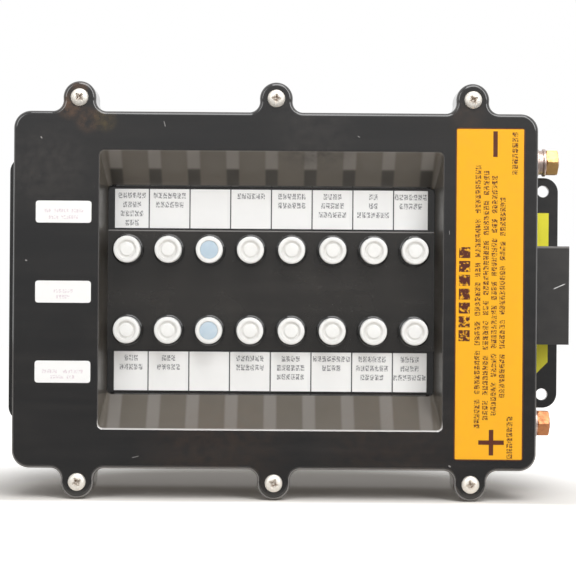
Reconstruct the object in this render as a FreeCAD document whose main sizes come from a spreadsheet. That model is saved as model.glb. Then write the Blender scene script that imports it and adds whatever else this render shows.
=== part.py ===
import FreeCAD, Part
import math
import os
import re

import Sketcher

# Circuit breaker box for a boat: a deep moulded case, a cover with a sunk well, and sixteen
# push to reset positions, fourteen with breakers and two closed by plugs.
# Millimetres. X runs to the right seen from the front, Z up, Y from the front into the bulkhead.
# The origin is the centre of the rear face, which lies on the bulkhead, and a height in this file
# is a distance in front of that face, so it points along -Y.

SIZES = {
    # Positions of the breakers
    "columns": 8,
    "column_pitch": 21.6,
    "row_pitch": 42.4,
    # Well in the cover
    "well_lift": 0.2,
    "well_depth": 21.0,
    "well_corner": 2.5,
    "side_run": 3.1,
    "slope_run": 18.4,
    "mouth_edge": 0.8,
    "platform_margin": 10.5,
    "platform_rise": 1.2,
    "label_height": 21.2,
    "label_margin": 0.75,
    "label_end_margin": 3.4,
    "label_thickness": 0.4,
    # Flat bands of the cover round the well, and the edge of the cover
    "left_band": 44.8,
    "right_band": 49.2,
    "end_band": 20.2,
    "outline_radius": 9.0,
    "cover_depth": 15.0,
    "cover_wall": 3.0,
    "cover_edge": 2.0,
    "cover_rib": 2.0,
    "rib_setback": 2.0,
    # Ears shared by the cover and the rim of the case
    "ear_inset": 34.2,
    "ear_reach": 7.0,
    "ear_radius": 8.6,
    "ear_flare": 5.5,
    # Case
    "case_wall": 3.0,
    "back_edge": 0.8,
    "rim_reach": 3.0,
    "rim_thickness": 8.0,
    "groove_inset": 2.0,
    "groove_width": 2.0,
    "groove_depth": 1.5,
    "gasket_clearance": 0.1,
    # Mounting flanges
    "flange_thickness": 4.0,
    "flange_radius": 8.0,
    "flange_hole": 6.5,
    "flange_hole_inset": 7.5,
    "right_flange_reach": 23.8,
    "right_flange_inset": 26.0,
    "right_hole_reach": 15.5,
    "left_flange_reach": 14.5,
    "left_flange_inset": 16.5,
    "left_hole_reach": 8.5,
    # Breakers with their threaded necks and collar nuts
    "neck_diameter": 12.0,
    "neck_clearance": 0.2,
    "breaker_width": 17.5,
    "breaker_height": 34.0,
    "breaker_depth": 30.0,
    "blade_width": 6.3,
    "blade_thickness": 0.8,
    "blade_spacing": 20.0,
    "blade_clearance": 0.2,
    "blade_tail": 1.8,
    "collar_diameter": 16.6,
    "collar_height": 4.7,
    "thread_clearance": 0.05,
    # Reset buttons
    "cap_diameter": 14.1,
    "cap_length": 8.3,
    "cap_gap": 0.3,
    "stem_width": 5.0,
    "stem_length": 17.0,
    "stem_clearance": 0.05,
    # Plugs of the spare positions
    "dish_diameter": 9.6,
    "dish_depth": 0.8,
    "plug_lip": 0.5,
    "plug_tail": 2.0,
    "disc_clearance": 0.1,
    "disc_thickness": 0.4,
    # Labels on the bands of the cover
    "polarity_inner_margin": 6.2,
    "polarity_outer_margin": 7.0,
    "polarity_end_margin": 6.5,
    "polarity_lift": -0.9,
    "rating_inner_margin": 4.0,
    "rating_outer_margin": 11.8,
    "rating_height": 11.5,
    "rating_lift": -1.2,
    "rating_pitch": 41.6,
    "sticker_thickness": 0.3,
    "sticker_corner": 1.5,
    # Screws
    "cover_screw": 4.8,
    "cover_screw_hole": 5.4,
    "cover_screw_length": 22.0,
    "cover_screw_head": 9.2,
    "cover_screw_head_height": 2.6,
    "cover_screw_crown": 1.0,
    "pilot_clearance": 0.05,
    "pilot_spare": 1.0,
    "board_screw": 2.9,
    "board_screw_hole": 3.1,
    "board_screw_length": 8.0,
    "board_screw_head": 5.5,
    "board_screw_head_height": 2.0,
    # Circuit board
    "standoff_height": 9.0,
    "standoff_diameter": 8.0,
    "board_thickness": 1.6,
    "board_gap": 8.4,
    "board_left_margin": 22.2,
    "board_right_gap": 2.5,
    "board_end_gap": 9.0,
    "board_hole_inset": 10.0,
    "board_hole_gap": 21.0,
    # Copper strips
    "strip_thickness": 1.2,
    "bus_height": 29.0,
    "bus_margin": 8.4,
    "strip_width": 12.0,
    "strip_gap": 12.0,
    "negative_run": 41.0,
    "tab_margin": 8.6,
    # Battery studs on the right wall
    "stud_diameter": 8.0,
    "stud_clearance": 0.2,
    "stud_inset": 16.0,
    "stud_height": 26.0,
    "stud_boss": 20.0,
    "stud_boss_length": 8.0,
    "stud_spare": 0.7,
    "hexagon_flats": 13.0,
    "stud_head_thickness": 5.3,
    "nut_thickness": 6.5,
    "washer_diameter": 15.0,
    "flat_washer": 1.6,
    "lock_washer": 2.2,
    "lock_washer_diameter": 13.0,
    # Output header on the right wall
    "header_lift": -1.3,
    "header_gap": 7.0,
    "header_width": 52.7,
    "header_depth": 26.0,
    "header_reach": 23.0,
    "header_wall": 2.0,
    "header_base": 3.0,
    "header_body_width": 43.0,
    "header_body_depth": 17.0,
    "header_body_length": 11.0,
    "header_clearance": 0.3,
    "seal_thickness": 1.0,
    "pin_count": 8,
    "pin_pitch": 4.8,
    "pin_width": 2.4,
    "pin_thickness": 0.8,
    "pin_row_gap": 8.0,
    "pin_reach": 12.0,
    "pin_bend": 3.0,
    "pin_step": 3.5,
    "pin_clearance": 0.05,
    # Yellow strip that locks the header
    "lock_length": 88.8,
    "lock_lift": -0.6,
    "lock_reach": 16.5,
    "lock_thickness": 3.0,
    "lock_cut": 7.0,
}

SPARE_COLUMN = 2  # counted from 0 at the left, the same in both rows

# What follows from the sizes, in the order that the box is laid out
WORKED_OUT = {
    # Heights in front of the rear face
    "board_back": "case_wall + standoff_height",
    "board_front": "board_back + board_thickness",
    "blade_end": "board_back - blade_tail",
    "breaker_back": "board_front + board_gap",
    "floor_back": "breaker_back + breaker_depth",
    "floor_front": "floor_back + cover_wall",
    "collar_seat": "floor_front + platform_rise",
    "neck_end": "collar_seat + collar_height",
    "cap_back": "neck_end + cap_gap",
    "cap_front": "cap_back + cap_length",
    "cover_front": "floor_front + well_depth",
    "case_depth": "cover_front - cover_depth",
    "header_back": "case_depth - rim_thickness - header_gap - header_depth",
    "header_middle": "header_back + header_depth / 2",
    # Widths and heights seen from the front
    "platform_height": "row_pitch + 2 * platform_margin",
    "label_bay": "label_height + 2 * label_margin",
    "floor_width": "columns * column_pitch",
    "floor_height": "platform_height + 2 * label_bay",
    "mouth_width": "floor_width + 2 * side_run",
    "mouth_height": "floor_height + 2 * slope_run",
    "cover_width": "mouth_width + left_band + right_band",
    "cover_height": "mouth_height + 2 * end_band",
    # Places, out from the middle
    "well_offset": "(left_band - right_band) / 2",
    "ear_pitch": "cover_width / 2 - ear_inset",
    "side_wall": "cover_width / 2 - rim_reach",
    "top_wall": "cover_height / 2 - rim_reach",
    "side_inside": "side_wall - case_wall",
    "top_inside": "top_wall - case_wall",
    "first_column": "well_offset - (columns - 1) / 2 * column_pitch",
    "last_column": "well_offset + (columns - 1) / 2 * column_pitch",
    "board_left": "first_column - board_left_margin",
    "board_right": "side_inside - board_right_gap",
    "stud_lift": "top_inside - stud_inset",
    "stud_seat": "side_wall + stud_boss_length",
    "stud_tab": "side_inside - strip_thickness",
    "header_seat": "side_wall + seal_thickness",
    "body_end": "header_seat - header_body_length",
    "lane_end": "body_end - pin_bend - pin_step - strip_gap",
    "strip_lane": "lane_end - strip_width",
}

doc = FreeCAD.newDocument("breaker_box")
sheet = doc.addObject("Spreadsheet::Sheet", "Sizes")
for line, (alias, size) in enumerate(SIZES.items(), 1):
    sheet.set(f"A{line}", alias)
    sheet.set(f"B{line}", str(size))
    sheet.setAlias(f"B{line}", alias)
doc.recompute()

pieces = []


def on_sheet(formula):
    """The formula with each size written as a cell of the sheet, and each word worked out down to sizes."""
    def cell(match):
        word = match[0]
        if word in WORKED_OUT:
            return f"({on_sheet(WORKED_OUT[word])})"
        return f"Sizes.{word}" if word in SIZES else word

    return re.sub(r"\b[a-z][a-z_]*\b", cell, formula)


def worth(formula):
    """The number that a formula on the sheet gives."""
    return float(sheet.evalExpression(on_sheet(formula)))


def bind(thing, **formulas):
    """Ties properties of an object to formulas on the sheet."""
    for name, formula in formulas.items():
        thing.setExpression(name.replace("__", "."), on_sheet(formula))


def new_piece(label, x="0", z="0"):
    """An empty body, standing at x and z on the rear plane."""
    body = doc.addObject("PartDesign::Body", label)
    body.Label = label
    bind(body, Placement__Base__x=x, Placement__Base__z=z)
    pieces.append(body)
    return body


def new_sketch(body, name, role, lift):
    """A sketch parallel to one of the body's own planes, lifted along the plane's normal.

    The normal of the XZ plane points to the front, that of the YZ plane to the right.
    """
    sketch = body.newObject("Sketcher::SketchObject", f"{body.Name}_{name}")
    plane = next(f for f in body.Origin.OriginFeatures if f.Role == role)
    sketch.AttachmentSupport = [(plane, "")]
    sketch.MapMode = "FlatFace"
    bind(sketch, AttachmentOffset__Base__z=lift)
    return sketch


def tie(sketch, constraint, formula):
    """Adds a dimension to a sketch and ties it to the sheet."""
    index = sketch.addConstraint(constraint)
    sketch.setExpression(f"Constraints[{index}]", on_sheet(formula))


def outline(sketch, corners):
    """A closed outline through corners (x, y) or, where both sides are level or upright, (x, y, radius)."""
    places = [FreeCAD.Vector(worth(c[0]), worth(c[1]), 0) for c in corners]
    radii = [worth(c[2]) if len(c) > 2 else 0 for c in corners]
    count = len(corners)
    entries, exits = [], []
    for i, place in enumerate(places):
        before = (places[i - 1] - place).normalize()
        after = (places[(i + 1) % count] - place).normalize()
        entries.append(place + before * radii[i])
        exits.append(place + after * radii[i])
    first = sketch.GeometryCount
    for i in range(count):
        sketch.addGeometry(Part.LineSegment(exits[i], entries[(i + 1) % count]), False)
    for i in range(count):
        here, previous = first + i, first + (i - 1) % count
        if not radii[i]:
            sketch.addConstraint(Sketcher.Constraint("Coincident", previous, 2, here, 1))
            tie(sketch, Sketcher.Constraint("DistanceX", -1, 1, here, 1, places[i].x), corners[i][0])
            tie(sketch, Sketcher.Constraint("DistanceY", -1, 1, here, 1, places[i].y), corners[i][1])
            continue
        middle = entries[i] + exits[i] - places[i]
        bulge = middle + (places[i] - middle).normalize() * radii[i]
        arc = sketch.addGeometry(Part.Arc(entries[i], bulge, exits[i]), False)
        turns_left = (places[i] - entries[i]).cross(exits[i] - places[i]).z > 0
        ends = (1, 2) if turns_left else (2, 1)
        sketch.addConstraint(Sketcher.Constraint("Tangent", previous, 2, arc, ends[0]))
        sketch.addConstraint(Sketcher.Constraint("Tangent", arc, ends[1], here, 1))
        tie(sketch, Sketcher.Constraint("Radius", arc, radii[i]), corners[i][2])
    for i in range(count):
        after = (i + 1) % count
        if not radii[i] and not radii[after]:
            continue
        upright = abs(places[i].x - places[after].x) < abs(places[i].y - places[after].y)
        sketch.addConstraint(Sketcher.Constraint("Vertical" if upright else "Horizontal", first + i))
        if radii[i] and radii[after]:
            axis, formula = ("DistanceX", corners[i][0]) if upright else ("DistanceY", corners[i][1])
            level = places[i].x if upright else places[i].y
            tie(sketch, Sketcher.Constraint(axis, -1, 1, first + i, 1, level), formula)
    return sketch


def rectangle(sketch, x, y, width, height, radius=None):
    """A rectangle about (x, y), with round corners if a radius is given."""
    corners = [
        (f"{x} - ({width}) / 2", f"{y} - ({height}) / 2"),
        (f"{x} + ({width}) / 2", f"{y} - ({height}) / 2"),
        (f"{x} + ({width}) / 2", f"{y} + ({height}) / 2"),
        (f"{x} - ({width}) / 2", f"{y} + ({height}) / 2"),
    ]
    return outline(sketch, [c + (radius,) if radius else c for c in corners])


def circle(sketch, x, y, diameter):
    """A circle about (x, y)."""
    place = FreeCAD.Vector(worth(x), worth(y), 0)
    round_line = Part.Circle(place, FreeCAD.Vector(0, 0, 1), worth(diameter) / 2)
    index = sketch.addGeometry(round_line, False)
    tie(sketch, Sketcher.Constraint("DistanceX", -1, 1, index, 3, place.x), x)
    tie(sketch, Sketcher.Constraint("DistanceY", -1, 1, index, 3, place.y), y)
    tie(sketch, Sketcher.Constraint("Diameter", index, worth(diameter)), diameter)
    return sketch


def hexagon(sketch, x, y, flats):
    """A hexagon about (x, y) with a corner towards +x, so two of its flats are level."""
    corners = []
    for turn in range(0, 360, 60):
        corners.append((f"{x} + {flats} / sqrt(3) * cos({turn})", f"{y} + {flats} / sqrt(3) * sin({turn})"))
    return outline(sketch, corners)


def pad(body, name, sketch, length, backwards=False):
    """Extrudes a sketch along its normal, or against it."""
    feature = body.newObject("PartDesign::Pad", f"{body.Name}_{name}")
    feature.Profile = sketch
    feature.Reversed = backwards
    bind(feature, Length=length)
    return feature


def pocket(body, name, sketch, length, forwards=False):
    """Cuts a sketch into the body against its normal, or along it."""
    feature = body.newObject("PartDesign::Pocket", f"{body.Name}_{name}")
    feature.Profile = sketch
    feature.Type = "Length"
    feature.Reversed = forwards
    bind(feature, Length=length)
    return feature


def loft(body, kind, name, start, end):
    """Joins two outlines with flat walls, as material or as a hollow."""
    feature = body.newObject(f"PartDesign::{kind}Loft", f"{body.Name}_{name}")
    feature.Profile = start
    feature.Sections = [end]
    feature.Ruled = True
    return feature


def row_of(body, name, original, sketch, axis, spacing, copies):
    """Repeats a feature along an axis of its sketch."""
    feature = body.newObject("PartDesign::LinearPattern", f"{body.Name}_{name}")
    feature.Originals = [original]
    feature.Direction = (sketch, [axis])
    feature.Mode = "Spacing"
    bind(feature, Offset=spacing, Occurrences=copies)
    body.Tip = feature
    return feature


def soften(body, kind, name, size, chosen):
    """Fillets or chamfers the edges of the body's last feature that the test chooses."""
    doc.recompute()
    base = body.Tip
    edges = [f"Edge{i}" for i, edge in enumerate(base.Shape.Edges, 1) if chosen(edge)]
    feature = body.newObject(f"PartDesign::{kind}", f"{body.Name}_{name}")
    feature.Base = (base, edges)
    bind(feature, **{"Radius" if kind == "Fillet" else "Size": size})
    return feature


def lies_at(edge, height):
    """True for an edge that lies wholly at one height in front of the rear face."""
    box = edge.BoundBox
    return box.YLength < 1e-4 and abs(-box.YMin - worth(height)) < 1e-4


def column_x(column):
    """Middle of a column of breakers, counted from 0 at the left."""
    return f"(first_column + {column} * column_pitch)"


def row_z(row):
    """Middle of the upper row (1) or the lower row (-1) of breakers."""
    return f"(well_lift + ({row}) * row_pitch / 2)"


def all_positions():
    """Number, column and row of each position, counted along the upper row and then the lower one."""
    number = 0
    for row in (1, -1):
        for column in range(int(worth("columns"))):
            number += 1
            yield number, column, row


def ear_places():
    """Column (-1, 0 or 1) and side (1 above, -1 below) of the six ears."""
    return [(column, side) for side in (1, -1) for column in (-1, 0, 1)]


def ear_x(column):
    return f"(({column}) * ear_pitch)"


def ear_z(side):
    return f"(({side}) * (cover_height / 2 + ear_reach))"


def ear_outlines(sketch):
    """Six ears, each a round end that flares into the long edge and runs on a little way inside it."""
    edge, reach, root = worth("cover_height / 2"), worth("ear_reach"), worth("rim_reach")
    radius, flare = worth("ear_radius"), worth("ear_flare")
    spread = math.sqrt((radius + flare) ** 2 - (flare - reach) ** 2)
    join_x = spread * radius / (radius + flare)
    join_z = edge + reach + (flare - reach) * radius / (radius + flare)
    half_way = math.atan2(reach - flare, spread) / 2 - math.pi / 4
    dip_x = spread - flare * math.cos(half_way)
    dip_z = edge + flare + flare * math.sin(half_way)
    for column, side in ear_places():
        middle = worth(ear_x(column))
        places = [(-spread, edge), (-dip_x, dip_z), (-join_x, join_z), (0, edge + reach + radius)]
        places += [(join_x, join_z), (dip_x, dip_z), (spread, edge), (spread, edge - root)]
        places += [(-spread, edge - root), (-spread, edge)]
        spots = [FreeCAD.Vector(middle + x, side * z, 0) for x, z in places]
        for begin, size in ((0, "ear_flare"), (2, "ear_radius"), (4, "ear_flare")):
            arc = sketch.addGeometry(Part.Arc(*spots[begin : begin + 3]), False)
            tie(sketch, Sketcher.Constraint("Radius", arc, worth(size)), size)
        for begin, finish in zip(spots[6:], spots[7:]):
            sketch.addGeometry(Part.LineSegment(begin, finish), False)
    return sketch


def outlined_pad(body, name, height, thickness):
    """The shared outline of cover and rim, with its six ears, as one slab."""
    plate = new_sketch(body, f"{name}_outline", "XZ_Plane", height)
    rectangle(plate, "0", "0", "cover_width", "cover_height", "outline_radius")
    pad(body, name, plate, thickness)
    ears = ear_outlines(new_sketch(body, f"{name}_ear_outlines", "XZ_Plane", height))
    pad(body, f"{name}_ears", ears, thickness)


def circles(body, name, height, diameter, places, role="XZ_Plane"):
    """A sketch of equal circles."""
    sketch = new_sketch(body, name, role, height)
    for x, y in places:
        circle(sketch, x, y, diameter)
    return sketch


def make_case():
    """Deep rear case: tub, rim with ears and a groove for the gasket, flanges, stud bosses and standoffs."""
    body = new_piece("rear_case")
    tub = new_sketch(body, "tub_outline", "XZ_Plane", "0")
    around = ("cover_width - 2 * rim_reach", "cover_height - 2 * rim_reach", "outline_radius - rim_reach")
    rectangle(tub, "0", "0", *around)
    pad(body, "tub", tub, "case_depth")
    outlined_pad(body, "rim", "case_depth - rim_thickness", "rim_thickness")

    flanges = new_sketch(body, "flange_outlines", "XZ_Plane", "0")
    for side, name in ((1, "right"), (-1, "left")):
        root = f"({side}) * (side_wall - case_wall / 2)"
        edge = f"({side}) * (side_wall + {name}_flange_reach)"
        high = f"({side}) * (top_wall - {name}_flange_inset)"
        low = f"-({high})"
        rounded = [(edge, low, "flange_radius"), (edge, high, "flange_radius")]
        outline(flanges, [(root, low), *rounded, (root, high)])
    pad(body, "flanges", flanges, "flange_thickness")
    boss_root = "side_wall - case_wall / 2"
    bosses = circles(body, "boss_outlines", boss_root, "stud_boss", stud_places(), "YZ_Plane")
    pad(body, "stud_bosses", bosses, "stud_boss_length + case_wall / 2")

    hollow = new_sketch(body, "hollow_outline", "XZ_Plane", "case_depth")
    rectangle(hollow, "0", "0", "2 * side_inside", "2 * top_inside", "outline_radius - rim_reach")
    pocket(body, "hollow", hollow, "case_depth - case_wall")
    groove = new_sketch(body, "groove_outline", "XZ_Plane", "case_depth")
    for inset in ("groove_inset", "(groove_inset + groove_width)"):
        inside = (f"cover_width - 2 * {inset}", f"cover_height - 2 * {inset}", f"outline_radius - {inset}")
        rectangle(groove, "0", "0", *inside)
    pocket(body, "gasket_groove", groove, "groove_depth")

    standoffs = circles(body, "standoff_outlines", "case_wall", "standoff_diameter", board_screw_places())
    pad(body, "standoffs", standoffs, "standoff_height")
    pilot = "board_screw + 2 * pilot_clearance"
    pilots = circles(body, "standoff_holes", "board_back", pilot, board_screw_places())
    pocket(body, "standoff_bores", pilots, "board_screw_length - board_thickness + pilot_spare")
    ears = circles(body, "ear_holes", "case_depth", "cover_screw + 2 * pilot_clearance", ear_screw_places())
    pocket(body, "ear_bores", ears, "rim_thickness")
    bolts = circles(body, "flange_holes", "flange_thickness", "flange_hole", flange_hole_places())
    pocket(body, "flange_bores", bolts, "flange_thickness")
    stud_hole = "stud_diameter + 2 * stud_clearance"
    studs = circles(body, "stud_holes", "stud_seat", stud_hole, stud_places(), "YZ_Plane")
    pocket(body, "stud_bores", studs, "stud_boss_length + case_wall")
    window = new_sketch(body, "window_outline", "YZ_Plane", "side_wall")
    opening = [f"{size} + 2 * header_clearance" for size in ("header_body_depth", "header_body_width")]
    rectangle(window, "-header_middle", "header_lift", *opening)
    pocket(body, "header_window", window, "case_wall")
    soften(body, "Chamfer", "back_edge", "back_edge", on_back_edge)


def on_back_edge(edge):
    """True for the edges round the rear face, apart from those of the flange holes."""
    return lies_at(edge, "0") and edge.BoundBox.DiagonalLength > worth("2 * flange_hole")


def make_cover():
    """Moulded cover: outline with ears, a well with tapered walls, bores for the necks and ribs behind."""
    body = new_piece("front_cover")
    outlined_pad(body, "plate", "case_depth", "cover_depth")
    soften(body, "Fillet", "soft_rim", "cover_edge", lambda edge: lies_at(edge, "cover_front"))
    body.Tip = body.Group[-1]
    hollow = new_sketch(body, "hollow_outline", "XZ_Plane", "case_depth")
    rectangle(hollow, "0", "0", "2 * side_inside", "2 * top_inside", "outline_radius - rim_reach")
    pocket(body, "hollow", hollow, "cover_depth - cover_wall", forwards=True)

    ribs = new_sketch(body, "rib_outlines", "XZ_Plane", "case_depth + rib_setback")
    for column, side in ear_places():
        tall = "(top_inside - floor_height / 2)"
        middle = f"({side}) * (top_inside - {tall} / 2)"
        rectangle(ribs, ear_x(column), middle, "cover_rib", f"{tall} + cover_wall")
    pad(body, "ribs", ribs, "cover_depth - cover_wall - rib_setback")
    for kind, name, wall, depth in (
        ("Additive", "well_shell", "cover_wall", "floor_back"),
        ("Subtractive", "well_space", "0", "floor_front"),
    ):
        low = new_sketch(body, f"{name}_floor", "XZ_Plane", depth)
        high = new_sketch(body, f"{name}_mouth", "XZ_Plane", "cover_front")
        for sketch, side_run, slope_run in ((low, "0", "0"), (high, "side_run", "slope_run")):
            wide = f"floor_width + 2 * {side_run} + 2 * {wall}"
            tall = f"floor_height + 2 * {slope_run} + 2 * {wall}"
            rectangle(sketch, "well_offset", "well_lift", wide, tall, f"well_corner + {wall}")
        loft(body, kind, name, low, high)
    platform = new_sketch(body, "platform_outline", "XZ_Plane", "floor_front")
    rectangle(platform, "well_offset", "well_lift", "floor_width + cover_wall", "platform_height")
    pad(body, "platform", platform, "platform_rise")

    places = [(column_x(column), row_z(row)) for _, column, row in all_positions()]
    necks = circles(body, "neck_holes", "collar_seat", "neck_diameter + 2 * neck_clearance", places)
    pocket(body, "neck_bores", necks, "cover_wall + platform_rise")
    screws = circles(body, "screw_holes", "cover_front", "cover_screw_hole", ear_screw_places())
    pocket(body, "screw_bores", screws, "cover_depth")
    soften(body, "Fillet", "soft_mouth", "mouth_edge", on_well_mouth)


def on_well_mouth(edge):
    """True for the edges round the mouth of the well, which lie within the flat bands of the cover."""
    middle = edge.BoundBox.Center
    across = abs(middle.x - worth("well_offset")) < worth("(mouth_width + left_band) / 2")
    return lies_at(edge, "cover_front") and across and abs(middle.z) < worth("(mouth_height + end_band) / 2")


def make_gasket():
    """Square cord that fills the groove in the rim."""
    body = new_piece("perimeter_gasket")
    sketch = new_sketch(body, "outline", "XZ_Plane", "case_depth - groove_depth")
    for inset in ("(groove_inset + gasket_clearance)", "(groove_inset + groove_width - gasket_clearance)"):
        size = (f"cover_width - 2 * {inset}", f"cover_height - 2 * {inset}", f"outline_radius - {inset}")
        rectangle(sketch, "0", "0", *size)
    pad(body, "cord", sketch, "groove_depth")


def make_screws(label, places, seat, diameter, length, head, head_height, crown=None):
    """Screws that sit on one plane and point to the back, with the rim of the head cut off if crowned."""
    body = new_piece(label)
    pad(body, "heads", circles(body, "head_outlines", seat, head, places), head_height)
    if crown:
        top = f"({seat} + {head_height})"
        soften(body, "Chamfer", "crowns", crown, lambda edge: lies_at(edge, top))
        body.Tip = body.Group[-1]
    pad(body, "shanks", circles(body, "shank_outlines", seat, diameter, places), length, backwards=True)


def make_collars():
    """Round nuts on the necks, which clamp the breakers and the plugs to the floor of the well."""
    body = new_piece("collar_nuts")
    places = [(column_x(column), row_z(row)) for _, column, row in all_positions()]
    sketch = circles(body, "outlines", "collar_seat", "collar_diameter", places)
    for x, z in places:
        circle(sketch, x, z, "neck_diameter + 2 * thread_clearance")
    pad(body, "rings", sketch, "collar_height")


def make_breaker(number, column, row):
    """Breaker: housing behind the floor, threaded neck through it and two blades at the back."""
    body = new_piece(f"breaker_{number:02d}", column_x(column), row_z(row))
    housing = new_sketch(body, "housing_outline", "XZ_Plane", "breaker_back")
    rectangle(housing, "0", "0", "breaker_width", "breaker_height")
    pad(body, "housing", housing, "breaker_depth")
    neck = circles(body, "neck_outline", "floor_back", "neck_diameter", [("0", "0")])
    pad(body, "neck", neck, "neck_end - floor_back")
    bore = new_sketch(body, "bore_outline", "XZ_Plane", "neck_end")
    rectangle(bore, "0", "0", "stem_width + 2 * stem_clearance", "stem_width + 2 * stem_clearance")
    pocket(body, "stem_bore", bore, "stem_length - cap_gap + stem_clearance")
    blades = new_sketch(body, "blade_outlines", "XZ_Plane", "breaker_back")
    for side in (1, -1):
        rectangle(blades, "0", f"({side}) * blade_spacing / 2", "blade_width", "blade_thickness")
    pad(body, "blades", blades, "breaker_back - blade_end", backwards=True)


def make_button(number, column, row):
    """Reset button: a round cap on a square stem that slides in the neck of its breaker without turning."""
    body = new_piece(f"reset_button_{number:02d}", column_x(column), row_z(row))
    pad(body, "cap", circles(body, "cap_outline", "cap_back", "cap_diameter", [("0", "0")]), "cap_length")
    stem = new_sketch(body, "stem_outline", "XZ_Plane", "cap_back")
    rectangle(stem, "0", "0", "stem_width", "stem_width")
    pad(body, "stem", stem, "stem_length", backwards=True)


def make_plug(name, column, row):
    """Plug of a spare position: a cap with a shallow dish, on a neck that snaps behind the floor."""
    body = new_piece(f"spare_plug_{name}", column_x(column), row_z(row))
    lip, neck = "neck_diameter / 2 + plug_lip", "neck_diameter / 2"
    cap, dish = "cap_diameter / 2", "dish_diameter / 2"
    tail, dish_floor = "floor_back - plug_tail", "cap_front - dish_depth"
    profile = [("0", tail), (lip, tail), (lip, "floor_back"), (neck, "floor_back"), (neck, "cap_back")]
    profile += [(cap, "cap_back"), (cap, "cap_front"), (dish, "cap_front"), (dish, dish_floor)]
    profile.append(("0", dish_floor))
    sketch = new_sketch(body, "profile", "XY_Plane", "0")
    outline(sketch, [(radius, f"-({height})") for radius, height in profile])
    feature = body.newObject("PartDesign::Revolution", f"{body.Name}_turned")
    feature.Profile = sketch
    feature.ReferenceAxis = (sketch, ["V_Axis"])
    feature.Angle = 360


def make_plug_discs():
    """Coloured discs laid in the dishes of the two plugs."""
    body = new_piece("spare_plug_discs")
    places = [(column_x(SPARE_COLUMN), row_z(row)) for row in (1, -1)]
    disc = "dish_diameter - 2 * disc_clearance"
    discs = circles(body, "outlines", "cap_front - dish_depth", disc, places)
    pad(body, "discs", discs, "disc_thickness")


def make_sticker(label, x, z, width, height, seat, thickness, corner=None):
    """A flat label stuck to the cover."""
    body = new_piece(label)
    sketch = new_sketch(body, "outline", "XZ_Plane", seat)
    rectangle(sketch, x, z, width, height, corner)
    pad(body, "sheet", sketch, thickness)


def make_board():
    """Circuit board on the standoffs, slotted for the blades and the pins."""
    body = new_piece("circuit_board")
    sheet_outline = new_sketch(body, "outline", "XZ_Plane", "board_back")
    wide = "board_right - board_left"
    rectangle(sheet_outline, "(board_left + board_right) / 2", "0", wide, "2 * (top_inside - board_end_gap)")
    pad(body, "sheet", sheet_outline, "board_thickness")
    holes = circles(body, "screw_holes", "board_front", "board_screw_hole", board_screw_places())
    pocket(body, "screw_bores", holes, "board_thickness")
    blades = new_sketch(body, "blade_slots", "XZ_Plane", "board_front")
    for row in (1, -1):
        for side in (1, -1):
            blade_slot(blades, row, side)
    first = pocket(body, "blade_bores", blades, "board_thickness")
    row_of(body, "blade_columns", first, blades, "H_Axis", "column_pitch", "columns")
    pins = new_sketch(body, "pin_slots", "XZ_Plane", "board_front")
    for line in (0, 1):
        slot = ("pin_thickness + 2 * blade_clearance", "pin_width + 2 * blade_clearance")
        rectangle(pins, pin_foot(line), pin_z(0), *slot)
    first = pocket(body, "pin_bores", pins, "board_thickness")
    row_of(body, "pin_rows", first, pins, "V_Axis", "pin_pitch", "pin_count")


def blade_slot(sketch, row, side):
    """A clear slot round one blade of the first column."""
    middle = f"{row_z(row)} + ({side}) * blade_spacing / 2"
    slot = ("blade_width + 2 * blade_clearance", "blade_thickness + 2 * blade_clearance")
    rectangle(sketch, column_x(0), middle, *slot)


def make_bus():
    """Copper bus bar: feeds the inner blades of both rows and turns up to the positive stud."""
    body = new_piece("feed_bus_bar")
    start, end = "first_column - bus_margin", "last_column + bus_margin"
    top, bottom, narrow = "well_lift + bus_height / 2", "well_lift - bus_height / 2", "strip_width / 2"
    foot, foot_top = "-(stud_lift + strip_width / 2)", "-(stud_lift - strip_width / 2)"
    corners = [
        (start, bottom),
        (end, bottom),
        (end, f"-{narrow}"),
        ("strip_lane", f"-{narrow}"),
        ("strip_lane", foot),
        ("side_inside", foot),
        ("side_inside", foot_top),
        ("lane_end", foot_top),
        ("lane_end", narrow),
        (end, narrow),
        (end, top),
        (start, top),
    ]
    comb = outline(new_sketch(body, "comb_outline", "XZ_Plane", "board_front"), corners)
    pad(body, "comb", comb, "strip_thickness")
    slots = new_sketch(body, "slots", "XZ_Plane", "board_front + strip_thickness")
    blade_slot(slots, 1, -1)
    blade_slot(slots, -1, 1)
    first = pocket(body, "slot_bores", slots, "strip_thickness")
    row_of(body, "slot_columns", first, slots, "H_Axis", "column_pitch", "columns")
    stud_tab(body, -1)


def make_negative_strip():
    """Copper strip from the negative stud to the return side of the header."""
    body = new_piece("negative_strip")
    start = "stud_lift - negative_run"
    corners = [
        ("strip_lane", start),
        ("lane_end", start),
        ("lane_end", "stud_lift - strip_width / 2"),
        ("side_inside", "stud_lift - strip_width / 2"),
        ("side_inside", "stud_lift + strip_width / 2"),
        ("strip_lane", "stud_lift + strip_width / 2"),
    ]
    run = outline(new_sketch(body, "run_outline", "XZ_Plane", "board_front"), corners)
    pad(body, "run", run, "strip_thickness")
    stud_tab(body, 1)


def stud_tab(body, side):
    """The end of a strip that stands up against the right wall and takes the stud."""
    middle = f"({side}) * stud_lift"
    upright = new_sketch(body, "tab_outline", "XZ_Plane", "board_front")
    rectangle(upright, "side_inside - strip_thickness / 2", middle, "strip_thickness", "strip_width")
    pad(body, "tab", upright, "stud_height + tab_margin - board_front")
    hole = new_sketch(body, "tab_hole", "YZ_Plane", "side_inside")
    circle(hole, "-stud_height", middle, "stud_diameter + 2 * stud_clearance")
    pocket(body, "tab_bore", hole, "strip_thickness")


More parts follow.
